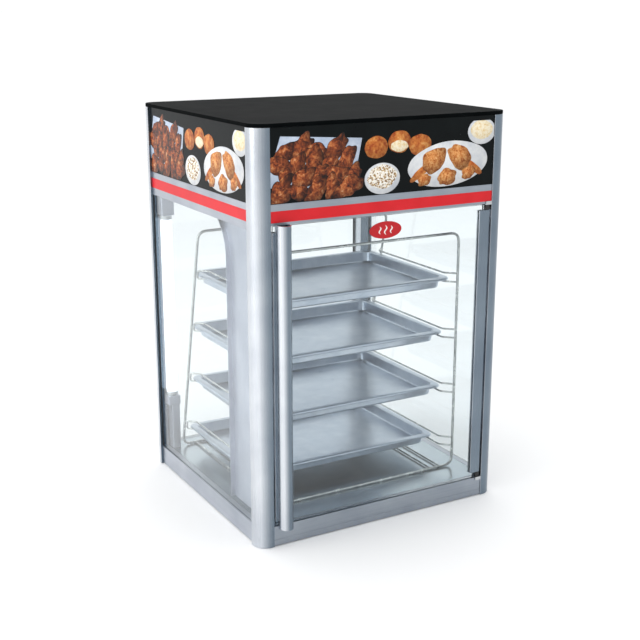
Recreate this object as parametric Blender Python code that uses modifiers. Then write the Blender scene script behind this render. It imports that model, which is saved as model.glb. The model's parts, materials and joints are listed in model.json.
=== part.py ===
"""Hot food display case: a lit and heated glass cabinet with a wire pan rack.

Metres, +Z up.  The origin is the centre of the footprint on the counter, the door faces -Y and +X is
to the right of someone who looks at the door.
"""
import bpy
import bmesh
from math import cos, pi, radians, sin
from mathutils import Matrix, Vector

# ---- driving dimensions -----------------------------------------------------------------------
CASE_WIDTH = 0.575            # over the corner posts
CASE_DEPTH = 0.545            # over the corner posts
CASE_HEIGHT = 0.832           # counter to the top of the lid
GAP = 0.0003                  # clearance between pieces that seat on each other

POST_FACE = 0.034             # width of a corner post on each face
POST_RADIUS = 0.029           # its rounded outer corner
POST_WALL = 0.0025
LID_THICKNESS = 0.007

SIDE_SETBACK = 0.005          # side rails and side glass behind the posts' side tangent
FRONT_SETBACK = 0.002         # front rails behind the posts' front tangent
BASE_HEIGHT = 0.043           # top of the base rails
BASE_CLEARANCE = 0.0015       # base rails above the counter
BASE_RAIL_THICKNESS = 0.018
RAIL_WALL = 0.0022
FLOOR_SHEET = 0.0015
FLOOR_FLANGE = 0.020

HEADER_FRONT_HEIGHT = 0.187   # top of the lid to the underside of the front header rail
HEADER_SIDE_DROP = 0.010      # side header rails below the front one
HEADER_RAIL_HEIGHT = 0.040    # front header rail
HEADER_RAIL_THICKNESS = 0.009
PANEL_THICKNESS = 0.003       # lit graphic panels
CEILING_SHEET = 0.002
CEILING_RISE = 0.0055         # ceiling above the underside of the front header rail
CONTROL_SHEET = 0.002

GLASS_THICKNESS = 0.004
GLASS_INSET = 0.002           # glass behind the face of the rails

DOOR_SIDE_GAP = 0.003         # between the door and each post
DOOR_BOTTOM_GAP = 0.0017
DOOR_TOP_GAP = 0.002
DOOR_GLASS_FACE = 0.0065      # door glass behind the posts' front tangent
STILE_WIDTH = 0.0245
STILE_LEG = 0.0034
STILE_WEB = 0.003
STILE_END = 0.0103            # the stiles stop short of the door's corners
HINGE_PIN_RADIUS = 0.003
HINGE_PIN_LENGTH = 0.0085
HINGE_RUNNING_CLEARANCE = 0.0003
HINGE_EDGE = 0.006            # pin axis to the door's hinge edge
HINGE_BLOCK_DEPTH = 0.0124
HINGE_LEAF = 0.001
HINGE_LIP_DROP = 0.006
PULL_WIDTH = 0.029
PULL_PROUD = 0.024            # in front of the posts
PULL_WALL = 0.0025
PULL_OVERRUN = 0.004          # beyond the door's glass at each end
PULL_INSET = 0.0045           # in from the door's latch edge
PULL_CLEARANCE = 0.0005       # in front of the rails
PULL_SHOULDER = 0.006
BADGE_WIDTH = 0.074
BADGE_HEIGHT = 0.034
BADGE_DROP = 0.029            # its centre below the top of the glass
BADGE_THICKNESS = 0.0008

WIRE_RADIUS = 0.003           # rack frames
RUNNER_RADIUS = 0.002         # pan runners and floor rods
RACK_SIDE_ROOM = 0.0085       # pan's rim to the centre of the uprights
RACK_FRONT_SETBACK = 0.0875   # front frame behind the posts' front tangent
RACK_FOOT_SETBACK = 0.0555    # foot of the rear frame in front of the posts' rear tangent
RACK_LEAN = 0.122             # the rear frame leans forward by this much
RACK_HEADROOM = 0.073         # below the front header rail
RACK_CORNER = 0.020
RUNNER_INSET = 0.0125         # runners in from the pan's rim
RUNNER_PAIR = 0.019           # height of a pan channel
RUNNER_BEND = 0.005
TIER_COUNT = 4
TIER_FIRST = 0.047            # lowest pair of runners above the base rails
TIER_LAST = 0.1079            # highest pair below the top of the rack
FLOOR_ROD_INSETS = (0.057, 0.032)   # floor rods in from the uprights

PAN_WIDTH = 0.457             # half-size sheet pan
PAN_LENGTH = 0.330
PAN_DEPTH = 0.025
PAN_RIM = 0.0165
PAN_RIM_HEIGHT = 0.007
PAN_SHEET = 0.0012
PAN_TAPER = 0.004
PAN_CORNER = 0.018
PAN_END_ROOM = 0.003          # pan pushed right back to the rear glass
PAN_SETTINGS = (0.506, 0.292, 0.266, 0.103)     # how far in each pan lies, lowest first; 1 is right back

DUCT_THICKNESS = 0.011
DUCT_SHEET = 0.0012
DUCT_POST_GAP = 0.0025        # behind the front post
DUCT_WIDTH = 0.116
DUCT_TOP_WIDTH = 0.173
DUCT_FLARE_HEIGHT = 0.0892
DUCT_FLOOR_GAP = 0.012

LAMP_RADIUS = 0.013
LAMP_BOTTOM = 0.172
LAMP_HEADROOM = 0.055         # top of the tube below the front header rail
LAMP_SIDE = 0.0295            # its axis in from the posts' side tangent
LAMP_POST_GAP = 0.0165        # its axis in front of the rear post
HOLDER_SIZE = 0.029
HOLDER_HEIGHT = 0.022

REAR_PROUD = PULL_PROUD       # the cord gland behind the rear posts, as far as the pull in front
CONTROL_DROP = 0.097          # centre line of the operator controls below the top of the lid
ROCKER_WIDTH = 0.013
ROCKER_LENGTH = 0.021
ROCKER_TILT = radians(8)
ROCKER_CLEARANCE = 0.0012
ROCKER_PLACES = {"power_rocker": 0.150, "lamp_rocker": 0.115}
KNOB_X = 0.020
KNOB_RADIUS = 0.018
KNOB_LENGTH = 0.017
KNOB_SHAFT = 0.003
LENS_X = 0.075
LENS_RADIUS = 0.006
GLAND_X = -0.150
GLAND_RADIUS = 0.012

FAN_Y = 0.030
FAN_RADIUS = 0.058
FAN_HEIGHT = 0.026
FAN_BLADES = 10
MOTOR_RADIUS = 0.038
MOTOR_HEIGHT = 0.062
SHAFT_RADIUS = 0.004
HEATER_RADIUS = 0.004

# ---- worked out from them ---------------------------------------------------------------------
HALF_W = CASE_WIDTH / 2
HALF_D = CASE_DEPTH / 2
POST_TOP = CASE_HEIGHT - LID_THICKNESS - GAP
HEADER_FRONT_BOTTOM = CASE_HEIGHT - HEADER_FRONT_HEIGHT
HEADER_SIDE_BOTTOM = HEADER_FRONT_BOTTOM - HEADER_SIDE_DROP
HEADER_RAIL_TOP = HEADER_FRONT_BOTTOM + HEADER_RAIL_HEIGHT
CEILING_BOTTOM = HEADER_FRONT_BOTTOM + CEILING_RISE
CONTROL_HEIGHT = CASE_HEIGHT - CONTROL_DROP
BETWEEN_X = HALF_W - POST_FACE - GAP          # rails between two posts, half length
BETWEEN_Y = HALF_D - POST_FACE - GAP
SIDE_FACE = HALF_W - SIDE_SETBACK             # outer face of the side rails
FRONT_FACE = HALF_D - FRONT_SETBACK           # outer face of the front and rear rails
SIDE_INNER = SIDE_FACE - HEADER_RAIL_THICKNESS
DOOR_HALF = HALF_W - POST_FACE - DOOR_SIDE_GAP
DOOR_BOTTOM = BASE_HEIGHT + DOOR_BOTTOM_GAP
DOOR_TOP = HEADER_FRONT_BOTTOM - DOOR_TOP_GAP
DOOR_Y = -HALF_D + DOOR_GLASS_FACE            # front of the door glass
STILE_FRONT = DOOR_Y - GAP - STILE_LEG
STILE_REAR = DOOR_Y + GLASS_THICKNESS + GAP + STILE_LEG
HINGE_X = DOOR_HALF - HINGE_EDGE
HINGE_Y = (STILE_FRONT + STILE_REAR) / 2
FLOOR_TOP = BASE_HEIGHT - GAP
RACK_FOOT = FLOOR_TOP + GAP + WIRE_RADIUS
CEILING_TOP = CEILING_BOTTOM + CEILING_SHEET
CONTROL_FACE = FRONT_FACE
GLASS_REAR_INNER = FRONT_FACE - GLASS_INSET - GLASS_THICKNESS
RACK_HALF_WIDTH = PAN_WIDTH / 2 + RACK_SIDE_ROOM
RACK_FRONT_Y = -HALF_D + RACK_FRONT_SETBACK
RACK_REAR_FOOT_Y = HALF_D - RACK_FOOT_SETBACK
RACK_REAR_TOP_Y = RACK_REAR_FOOT_Y - RACK_LEAN
RACK_TOP = HEADER_FRONT_BOTTOM - RACK_HEADROOM
RUNNER_HALF_WIDTH = PAN_WIDTH / 2 - RUNNER_INSET
TIER_BASE = BASE_HEIGHT + TIER_FIRST
TIER_PITCH = (RACK_TOP - TIER_LAST - TIER_BASE) / (TIER_COUNT - 1)
PAN_ROOM = GLASS_REAR_INNER - PAN_END_ROOM - RACK_FRONT_Y - PAN_LENGTH
DUCT_FRONT_Y = -HALF_D + POST_FACE + DUCT_POST_GAP
LAMP_CENTRE_X = -HALF_W + LAMP_SIDE
LAMP_CENTRE_Y = HALF_D - POST_FACE - LAMP_POST_GAP
LAMP_LENGTH = HEADER_FRONT_BOTTOM - LAMP_HEADROOM - LAMP_BOTTOM


# ---- scene and helpers ------------------------------------------------------------------------
for old in list(bpy.data.objects):
    bpy.data.objects.remove(old, do_unlink=True)

PARTS = bpy.data.collections.new("hot_food_display_case")
CUTTERS = bpy.data.collections.new("cutters")
bpy.context.scene.collection.children.link(PARTS)
bpy.context.scene.collection.children.link(CUTTERS)


def make_material(name, color, roughness, metallic=0.0, alpha=1.0):
    material = bpy.data.materials.new(name)
    material.use_nodes = True
    shader = material.node_tree.nodes["Principled BSDF"]
    shader.inputs["Base Color"].default_value = (*color, 1.0)
    shader.inputs["Roughness"].default_value = roughness
    shader.inputs["Metallic"].default_value = metallic
    shader.inputs["Alpha"].default_value = alpha
    material.diffuse_color = (*color, alpha)
    return material


ALUMINIUM = make_material("anodised_aluminium", (0.60, 0.62, 0.66), 0.30, 1.0)
STAINLESS = make_material("brushed_stainless", (0.55, 0.57, 0.58), 0.28, 1.0)
GALVANISED = make_material("galvanised_sheet", (0.50, 0.52, 0.54), 0.45, 1.0)
PAN_METAL = make_material("pan_aluminium", (0.55, 0.60, 0.67), 0.35, 1.0)
WIRE_METAL = make_material("plated_wire", (0.50, 0.51, 0.52), 0.25, 1.0)
BLACK_PAINT = make_material("black_painted_steel", (0.006, 0.008, 0.009), 0.35)
GRAPHIC = make_material("graphic_acrylic", (0.05, 0.03, 0.02), 0.20)
CLEAR_GLASS = make_material("clear_glass", (0.85, 0.90, 0.91), 0.03, 0.0, 0.25)
LAMP_GLASS = make_material("lamp_glass", (0.90, 0.92, 0.95), 0.20)
WHITE_PLASTIC = make_material("white_plastic", (0.80, 0.80, 0.80), 0.45)
BLACK_PLASTIC = make_material("black_plastic", (0.015, 0.015, 0.016), 0.50)
RED_LABEL = make_material("red_label", (0.55, 0.02, 0.03), 0.30)
AMBER_LENS = make_material("amber_lens", (0.80, 0.30, 0.04), 0.15)


def add(name, data, material, location=(0, 0, 0), rotation=(0, 0, 0), parent=None, tool=False):
    """A new object; a tool is a cutter or a union body that the finished part leaves out."""
    thing = bpy.data.objects.new(name, data)
    (CUTTERS if tool else PARTS).objects.link(thing)
    thing.location = location
    thing.rotation_euler = rotation
    if material:
        data.materials.append(material)
    if parent:
        thing.parent = parent
        thing.location = Vector(location) - parent.location
    if tool:
        thing.hide_render = True
        thing.display_type = "WIRE"
    return thing


def axis_empty(name, location):
    """An empty on a joint's axis, which carries the pieces that turn with it."""
    empty = bpy.data.objects.new(name, None)
    PARTS.objects.link(empty)
    empty.location = location
    return empty


def box(name, low, high, material, edge=0.0, **place):
    """A block between two corners, with rounded edges where edge is given."""
    low, high = Vector(low), Vector(high)
    bm = bmesh.new()
    bmesh.ops.create_cube(bm, size=1.0)
    bmesh.ops.scale(bm, vec=high - low, verts=bm.verts)
    mesh = bpy.data.meshes.new(name)
    bm.to_mesh(mesh)
    bm.free()
    block = add(name, mesh, material, location=(low + high) / 2, **place)
    if edge:
        bevel = block.modifiers.new("rounded_edges", "BEVEL")
        bevel.width = edge
        bevel.segments = 2
    return block


def cylinder(name, centre, radius, length, material, rotation=(0, 0, 0), segments=32, **place):
    bm = bmesh.new()
    bmesh.ops.create_cone(bm, cap_ends=True, segments=segments, radius1=radius, radius2=radius,
                          depth=length)
    mesh = bpy.data.meshes.new(name)
    bm.to_mesh(mesh)
    bm.free()
    mesh.shade_smooth()
    mesh.set_sharp_from_angle(angle=radians(40))
    return add(name, mesh, material, location=centre, rotation=rotation, **place)


def arc(centre_a, centre_b, radius, start, end, steps):
    """Points on an arc, angles in degrees."""
    turn = [radians(start + (end - start) * i / steps) for i in range(steps + 1)]
    return [(centre_a + radius * cos(t), centre_b + radius * sin(t)) for t in turn]


def area(outline):
    pairs = zip(outline, outline[1:] + outline[:1])
    return sum(a[0] * b[1] - b[0] * a[1] for a, b in pairs) / 2


TURN = {
    "X": Matrix(((0, 0, 1), (1, 0, 0), (0, 1, 0))).to_euler(),     # outline in Y and Z
    "Y": Matrix(((1, 0, 0), (0, 0, -1), (0, 1, 0))).to_euler(),    # outline in X and Z
    "Z": (0, 0, 0),                                                # outline in X and Y
}


def extrusion(name, outlines, axis, start, end, material, **place):
    """Closed outlines, the later ones holes, drawn out along an axis from start to end."""
    curve = bpy.data.curves.new(name, "CURVE")
    curve.dimensions = "2D"
    curve.fill_mode = "BOTH"
    curve.extrude = (end - start) / 2
    for outline in outlines:
        outline = list(outline) if area(list(outline)) > 0 else list(outline)[::-1]
        spline = curve.splines.new("POLY")
        spline.points.add(len(outline) - 1)
        for point, (a, b) in zip(spline.points, outline):
            point.co = (a, b, 0, 1)
        spline.use_cyclic_u = True
    middle = (start + end) / 2
    location = {"X": (middle, 0, 0), "Y": (0, middle, 0), "Z": (0, 0, middle)}[axis]
    return add(name, curve, material, location=location, rotation=TURN[axis], **place)


def wire(name, points, radius, material, cyclic=False, **place):
    curve = bpy.data.curves.new(name, "CURVE")
    curve.dimensions = "3D"
    curve.bevel_depth = radius
    curve.bevel_resolution = 2
    curve.use_fill_caps = True
    spline = curve.splines.new("POLY")
    spline.points.add(len(points) - 1)
    for point, co in zip(spline.points, points):
        point.co = (*co, 1)
    spline.use_cyclic_u = cyclic
    return add(name, curve, material, **place)


def rounded(points, radius, cyclic=False, steps=4):
    """The same path with each corner replaced by an arc of about the given radius."""
    path = []
    count = len(points)
    for i, here in enumerate(points):
        here = Vector(here)
        if not cyclic and i in (0, count - 1):
            path.append(here)
            continue
        before = Vector(points[i - 1]) - here
        after = Vector(points[(i + 1) % count]) - here
        reach = min(radius, before.length / 2.2, after.length / 2.2)
        first = here + before.normalized() * reach
        last = here + after.normalized() * reach
        for k in range(steps + 1):
            t = k / steps
            path.append(first * (1 - t) ** 2 + here * 2 * t * (1 - t) + last * t ** 2)
    return path


def turned(name, profile, material, closed=False, steps=32, **place):
    """A turned piece about its own Z, from a profile that runs down its outer side."""
    bm = bmesh.new()
    corners = [bm.verts.new((radius, 0, height)) for radius, height in profile]
    pairs = list(zip(corners, corners[1:])) + ([(corners[-1], corners[0])] if closed else [])
    for pair in pairs:
        bm.edges.new(pair)
    mesh = bpy.data.meshes.new(name)
    bm.to_mesh(mesh)
    bm.free()
    piece = add(name, mesh, material, **place)
    screw = piece.modifiers.new("turned", "SCREW")
    screw.steps = steps
    screw.render_steps = steps
    screw.use_merge_vertices = True
    screw.merge_threshold = 0.00001
    return piece


def as_mesh(piece):
    """A curve turned into a mesh with welded caps, in the same place."""
    evaluated = piece.evaluated_get(bpy.context.evaluated_depsgraph_get())
    mesh = bpy.data.meshes.new_from_object(evaluated)
    bm = bmesh.new()
    bm.from_mesh(mesh)
    bmesh.ops.remove_doubles(bm, verts=bm.verts, dist=0.00001)
    bm.to_mesh(mesh)
    bm.free()
    name = piece.name
    home = piece.users_collection[0]
    parent = piece.parent
    solid = bpy.data.objects.new(name + "_solid", mesh)
    home.objects.link(solid)
    bpy.context.view_layer.update()
    solid.matrix_world = piece.matrix_world
    hidden = piece.hide_render
    bpy.data.objects.remove(piece, do_unlink=True)
    solid.name = name
    if parent:
        place = solid.matrix_world.copy()
        solid.parent = parent
        bpy.context.view_layer.update()
        solid.matrix_world = place
    if hidden:
        solid.hide_render = True
        solid.display_type = "WIRE"
    return solid


def boolean(piece, tool, operation="DIFFERENCE"):
    """Cut a tool from a piece, or join it on; a curve becomes a mesh first."""
    if piece.type == "CURVE":
        piece = as_mesh(piece)
    if tool.type == "CURVE":
        tool = as_mesh(tool)
    step = piece.modifiers.new(tool.name, "BOOLEAN")
    step.operation = operation
    step.solver = "EXACT"
    step.object = tool
    return piece


def slab_with_notched_corners(half_x, half_y, notch_x, notch_y):
    """Outline of a sheet that is cut away at the four corner posts."""
    quarter = [(half_x, notch_y), (notch_x, notch_y), (notch_x, half_y)]
    outline = []
    for sign_x, sign_y in ((1, 1), (-1, 1), (-1, -1), (1, -1)):
        corner = [(sign_x * x, sign_y * y) for x, y in quarter]
        outline += corner if sign_x * sign_y > 0 else corner[::-1]
    return outline


# ---- frame of the case ------------------------------------------------------------------------
def corner_post(name, sign_x, sign_y):
    """A hollow extrusion with a quarter-round outer corner."""
    def outline(inset):
        radius = POST_RADIUS - inset
        inner = POST_FACE - inset
        sweep = arc(POST_RADIUS, POST_RADIUS, radius, 180, 270, 10)
        return [(inner, inset)] + sweep[::-1] + [(inset, inner), (inner, inner)]

    def placed(points):
        return [(sign_x * (HALF_W - a), sign_y * (HALF_D - b)) for a, b in points]

    extrusion(name, [placed(outline(0)), placed(outline(POST_WALL))], "Z", 0, POST_TOP, ALUMINIUM)


def hollow_rail(outer, inner, bottom, top, wall, groove=None):
    """Section of a rail, across its thickness and height, with a groove in its outer face."""
    skin = [(outer, bottom), (inner, bottom), (inner, top), (outer, top)]
    if groove:
        depth = 0.0008 if outer < inner else -0.0008
        low, high = groove
        skin += [(outer, high), (outer + depth, high), (outer + depth, low), (outer, low)]
    left, right = sorted((outer, inner))
    core = [(left + wall, bottom + wall), (right - wall, bottom + wall),
            (right - wall, top - wall), (left + wall, top - wall)]
    return [skin, core]


def base_frame():
    low, high = BASE_CLEARANCE, BASE_HEIGHT
    groove = (low + 0.28 * (high - low), low + 0.28 * (high - low) + 0.0016)
    inner = FRONT_FACE - BASE_RAIL_THICKNESS
    front = hollow_rail(-FRONT_FACE, -inner, low, high, RAIL_WALL, groove)
    rear = hollow_rail(FRONT_FACE, inner, low, high, RAIL_WALL, groove)
    extrusion("base_rail_front", front, "X", -BETWEEN_X, BETWEEN_X, ALUMINIUM)
    extrusion("base_rail_rear", rear, "X", -BETWEEN_X, BETWEEN_X, ALUMINIUM)
    inner = SIDE_FACE - BASE_RAIL_THICKNESS
    left = hollow_rail(-SIDE_FACE, -inner, low, high, RAIL_WALL)
    right = hollow_rail(SIDE_FACE, inner, low, high, RAIL_WALL)
    extrusion("base_rail_left", left, "Y", -BETWEEN_Y, BETWEEN_Y, ALUMINIUM)
    extrusion("base_rail_right", right, "Y", -BETWEEN_Y, BETWEEN_Y, ALUMINIUM)


def floor_pan():
    """A stainless sheet with a flange turned down inside the base rails."""
    half_x = SIDE_FACE - BASE_RAIL_THICKNESS - GAP
    half_y = FRONT_FACE - BASE_RAIL_THICKNESS - GAP
    outline = slab_with_notched_corners(half_x, half_y, BETWEEN_X - GAP, BETWEEN_Y - GAP)
    bm = bmesh.new()
    sheet = bm.faces.new([bm.verts.new((x, y, FLOOR_TOP)) for x, y in outline])
    rim = list(sheet.edges)
    flange = bmesh.ops.extrude_edge_only(bm, edges=rim)["geom"]
    corners = [item for item in flange if isinstance(item, bmesh.types.BMVert)]
    bmesh.ops.translate(bm, vec=(0, 0, -FLOOR_FLANGE), verts=corners)
    bmesh.ops.recalc_face_normals(bm, faces=bm.faces)
    if sheet.normal.z < 0:
        bmesh.ops.reverse_faces(bm, faces=bm.faces)
    mesh = bpy.data.meshes.new("floor_pan")
    bm.to_mesh(mesh)
    bm.free()
    pan = add("floor_pan", mesh, STAINLESS)
    wall = pan.modifiers.new("sheet", "SOLIDIFY")
    wall.thickness = FLOOR_SHEET
    wall.offset = -1
    wall.use_even_offset = True


def header():
    """Header rails, lit graphic panels, ceiling, rear control panel and lid."""
    front = hollow_rail(-FRONT_FACE, -FRONT_FACE + HEADER_RAIL_THICKNESS, HEADER_FRONT_BOTTOM,
                        HEADER_RAIL_TOP, RAIL_WALL)
    extrusion("header_rail_front", front, "X", -BETWEEN_X, BETWEEN_X, ALUMINIUM)
    panel_low, panel_high = HEADER_RAIL_TOP + GAP, POST_TOP - GAP
    box("graphic_panel_front", (-BETWEEN_X, -FRONT_FACE, panel_low),
        (BETWEEN_X, -FRONT_FACE + PANEL_THICKNESS, panel_high), GRAPHIC)
    for side, sign in (("left", -1), ("right", 1)):
        rail = hollow_rail(sign * SIDE_FACE, sign * SIDE_INNER, HEADER_SIDE_BOTTOM, HEADER_RAIL_TOP,
                           RAIL_WALL)
        extrusion("header_rail_" + side, rail, "Y", -BETWEEN_Y, BETWEEN_Y, ALUMINIUM)
        faces = sorted((sign * SIDE_FACE, sign * (SIDE_FACE - PANEL_THICKNESS)))
        box("graphic_panel_" + side, (faces[0], -BETWEEN_Y, panel_low),
            (faces[1], BETWEEN_Y, panel_high), GRAPHIC)
    half_x = SIDE_INNER - GAP
    ceiling_y = FRONT_FACE - HEADER_RAIL_THICKNESS - GAP
    outline = slab_with_notched_corners(half_x, ceiling_y, BETWEEN_X - GAP, BETWEEN_Y - GAP)
    intake = arc(0, FAN_Y, FAN_RADIUS * 0.85, 0, 360 - 360 / 32, 31)
    slots = []
    for sign in (-1, 1):
        for row in range(5):
            middle = -0.10 + 0.05 * row
            across = sorted((sign * 0.175, sign * 0.225))
            slots.append([(across[0], middle - 0.005), (across[1], middle - 0.005),
                          (across[1], middle + 0.005), (across[0], middle + 0.005)])
    extrusion("ceiling_plate", [outline, intake] + slots, "Z", CEILING_BOTTOM, CEILING_TOP,
              GALVANISED)
    lid = arc(HALF_W - POST_RADIUS, HALF_D - POST_RADIUS, POST_RADIUS, 0, 90, 8)
    corners = []
    for sign_x, sign_y in ((1, 1), (-1, 1), (-1, -1), (1, -1)):
        quarter = [(sign_x * x, sign_y * y) for x, y in lid]
        corners += quarter if sign_x * sign_y > 0 else quarter[::-1]
    extrusion("top_lid", [corners], "Z", CASE_HEIGHT - LID_THICKNESS, CASE_HEIGHT, BLACK_PAINT)


def glazing():
    """Fixed panes at the left, right and rear."""
    low, high = BASE_HEIGHT + GAP, HEADER_SIDE_BOTTOM - GAP
    outer = SIDE_FACE - GLASS_INSET
    for side, sign in (("left", -1), ("right", 1)):
        faces = sorted((sign * outer, sign * (outer - GLASS_THICKNESS)))
        box("side_glass_" + side, (faces[0], -BETWEEN_Y, low), (faces[1], BETWEEN_Y, high),
            CLEAR_GLASS)
    rear = FRONT_FACE - GLASS_INSET
    box("rear_glass", (-BETWEEN_X, rear - GLASS_THICKNESS, low), (BETWEEN_X, rear, high), CLEAR_GLASS)


# ---- door -------------------------------------------------------------------------------------
def door():
    """A frameless glass door between two stiles, which turns on pivots at its right edge."""
    pivot = axis_empty("door_axis", (HINGE_X, HINGE_Y, 0))
    glass_left = -DOOR_HALF + STILE_WEB + GAP
    glass_right = HINGE_X - HINGE_EDGE + GAP
    box("door_glass", (glass_left, DOOR_Y, DOOR_BOTTOM),
        (glass_right, DOOR_Y + GLASS_THICKNESS, DOOR_TOP), CLEAR_GLASS, parent=pivot)

    def stile(sign, web, front):
        """Channel section that grips the glass, with its web at the door's edge."""
        edge, tip = sign * DOOR_HALF, sign * (DOOR_HALF - STILE_WIDTH)
        root = sign * (DOOR_HALF - web)
        slot_front, slot_rear = DOOR_Y - GAP, DOOR_Y + GLASS_THICKNESS + GAP
        return [(edge, front), (tip, front), (tip, slot_front), (root, slot_front),
                (root, slot_rear), (tip, slot_rear), (tip, STILE_REAR), (edge, STILE_REAR)]

    low, high = DOOR_BOTTOM + STILE_END, DOOR_TOP - STILE_END - GAP
    hinge_web = DOOR_HALF - glass_right - GAP
    place = {"material": ALUMINIUM, "parent": pivot}
    pull_back = -HALF_D - PULL_CLEARANCE
    extrusion("latch_stile", [stile(-1, STILE_WEB, pull_back + GAP)], "Z", low, high, **place)
    extrusion("hinge_stile", [stile(1, hinge_web, STILE_FRONT)], "Z", low, high, **place)

    badge_z = DOOR_TOP - BADGE_DROP
    radius = BADGE_HEIGHT * 0.32
    half_x, half_z = BADGE_WIDTH / 2 - radius, BADGE_HEIGHT / 2 - radius
    badge = []
    for k, (sign_x, sign_z) in enumerate(((1, 1), (-1, 1), (-1, -1), (1, -1))):
        badge += arc(sign_x * half_x, badge_z + sign_z * half_z, radius, 90 * k, 90 * k + 90, 5)
    extrusion("door_badge", [badge], "Y", DOOR_Y - GAP - BADGE_THICKNESS, DOOR_Y - GAP, RED_LABEL,
              parent=pivot)

    # The pull is a bowed hollow section on the face of the latch stile.
    left = -DOOR_HALF + PULL_INSET
    middle = left + PULL_WIDTH / 2
    crown = -HALF_D - PULL_PROUD

    def bow(inset):
        base = pull_back - PULL_SHOULDER
        half, rise = PULL_WIDTH / 2 - inset, base - crown - inset
        turn = [radians(180 + 180 * i / 14) for i in range(15)]
        return [(middle + half * cos(t), base + rise * sin(t)) for t in turn]

    outside = bow(0) + [(left + PULL_WIDTH, pull_back), (left, pull_back)]
    inside = bow(PULL_WALL) + [(left + PULL_WIDTH - PULL_WALL, pull_back - PULL_WALL),
                               (left + PULL_WALL, pull_back - PULL_WALL)]
    extrusion("door_pull", [outside, inside], "Z", DOOR_BOTTOM - PULL_OVERRUN,
              DOOR_TOP + PULL_OVERRUN, **place)

    # Pivots: a leaf with a pin on the rails, and a block with a blind hole on the door.
    for end, sign, seat, rail in (("bottom", 1, DOOR_BOTTOM, BASE_HEIGHT),
                                  ("top", -1, DOOR_TOP, HEADER_FRONT_BOTTOM)):
        inner_face = seat
        outer_face = seat + sign * (STILE_END - GAP)
        span = sorted((inner_face, outer_face))
        block = box("hinge_block_" + end,
                    (HINGE_X - HINGE_EDGE + 2 * GAP, HINGE_Y - HINGE_BLOCK_DEPTH / 2, span[0]),
                    (DOOR_HALF, HINGE_Y + HINGE_BLOCK_DEPTH / 2, span[1]), BLACK_PLASTIC,
                    parent=pivot)
        hole = HINGE_PIN_LENGTH + 0.0004
        bore = cylinder("pivot_hole_" + end, (HINGE_X, HINGE_Y, seat + sign * (hole / 2 - 0.001)),
                        HINGE_PIN_RADIUS + HINGE_RUNNING_CLEARANCE, hole + 0.002, None, tool=True)
        boolean(block, bore)
        leaf_rail = rail + sign * GAP
        leaf_door = leaf_rail + sign * HINGE_LEAF
        lip_front = -HALF_D - 0.0002
        lip_rear = -FRONT_FACE - GAP
        leaf = [(lip_front, rail - sign * HINGE_LIP_DROP), (lip_rear, rail - sign * HINGE_LIP_DROP),
                (lip_rear, leaf_rail), (HINGE_Y + 0.006, leaf_rail), (HINGE_Y + 0.006, leaf_door),
                (lip_front, leaf_door)]
        plate = extrusion("hinge_pivot_" + end, [leaf], "X", HINGE_X - 0.0055, HINGE_X + 0.0085,
                          BLACK_PLASTIC)
        pin = cylinder("pivot_pin_" + end,
                       (HINGE_X, HINGE_Y, seat + sign * (HINGE_PIN_LENGTH / 2 - 0.0007)),
                       HINGE_PIN_RADIUS, HINGE_PIN_LENGTH + 0.0005, None, tool=True)
        boolean(plate, pin, "UNION")


# ---- inside the cabinet -----------------------------------------------------------------------
def air_duct():
    """A folded cover inside the left pane that leads warm air down; its open side faces the glass."""
    rear_y = DUCT_FRONT_Y + DUCT_WIDTH
    top_y = DUCT_FRONT_Y + DUCT_TOP_WIDTH
    top = CEILING_BOTTOM - GAP
    flare_start = top - DUCT_FLARE_HEIGHT
    flare = []
    for i in range(9):
        t = i / 8
        flare.append((rear_y + (top_y - rear_y) * t ** 2.2, flare_start + DUCT_FLARE_HEIGHT * t))
    outline = [(DUCT_FRONT_Y, BASE_HEIGHT + DUCT_FLOOR_GAP), (rear_y, BASE_HEIGHT + DUCT_FLOOR_GAP)]
    outline += flare + [(DUCT_FRONT_Y, top)]
    outer = -SIDE_INNER + GAP
    cover = extrusion("air_duct", [outline], "X", outer, outer + DUCT_THICKNESS, GALVANISED)
    wall = DUCT_SHEET
    core = [(DUCT_FRONT_Y + wall, 0.02), (rear_y - wall, 0.02)]
    core += [(y - wall, z) for y, z in flare[:-1]]
    core += [(top_y - wall, top + 0.01), (DUCT_FRONT_Y + wall, top + 0.01)]
    hollow = extrusion("duct_hollow", [core], "X", outer - 0.01, outer + DUCT_THICKNESS - wall, None,
                       tool=True)
    boolean(cover, hollow)


def lamp():
    """A fluorescent tube upright in the rear left corner, its two holders and its wireway."""
    x, y = LAMP_CENTRE_X, LAMP_CENTRE_Y
    top = LAMP_BOTTOM + LAMP_LENGTH
    cap = LAMP_RADIUS * 0.96
    profile = [(0, LAMP_LENGTH), (cap, LAMP_LENGTH), (cap, LAMP_LENGTH - 0.012),
               (LAMP_RADIUS, LAMP_LENGTH - 0.014), (LAMP_RADIUS, 0.014), (cap, 0.012), (cap, 0),
               (0, 0)]
    turned("lamp_tube", profile, LAMP_GLASS, steps=24, location=(x, y, LAMP_BOTTOM))
    half = HOLDER_SIZE / 2
    box("lamp_holder_top", (x - half, y - half, top + GAP), (x + half, y + half, CEILING_BOTTOM - GAP),
        WHITE_PLASTIC, edge=0.002)
    box("lamp_holder_bottom", (x - half, y - half, LAMP_BOTTOM - HOLDER_HEIGHT),
        (x + half, y + half, LAMP_BOTTOM - GAP), WHITE_PLASTIC, edge=0.002)
    half = HOLDER_SIZE / 2 - 0.002
    right_side = SIDE_FACE - BASE_RAIL_THICKNESS
    box("lamp_wireway", (-right_side + 0.0006, y - half, BASE_HEIGHT + GAP),
        (x + half, y + half, LAMP_BOTTOM - HOLDER_HEIGHT - GAP), ALUMINIUM, edge=0.001)


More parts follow.
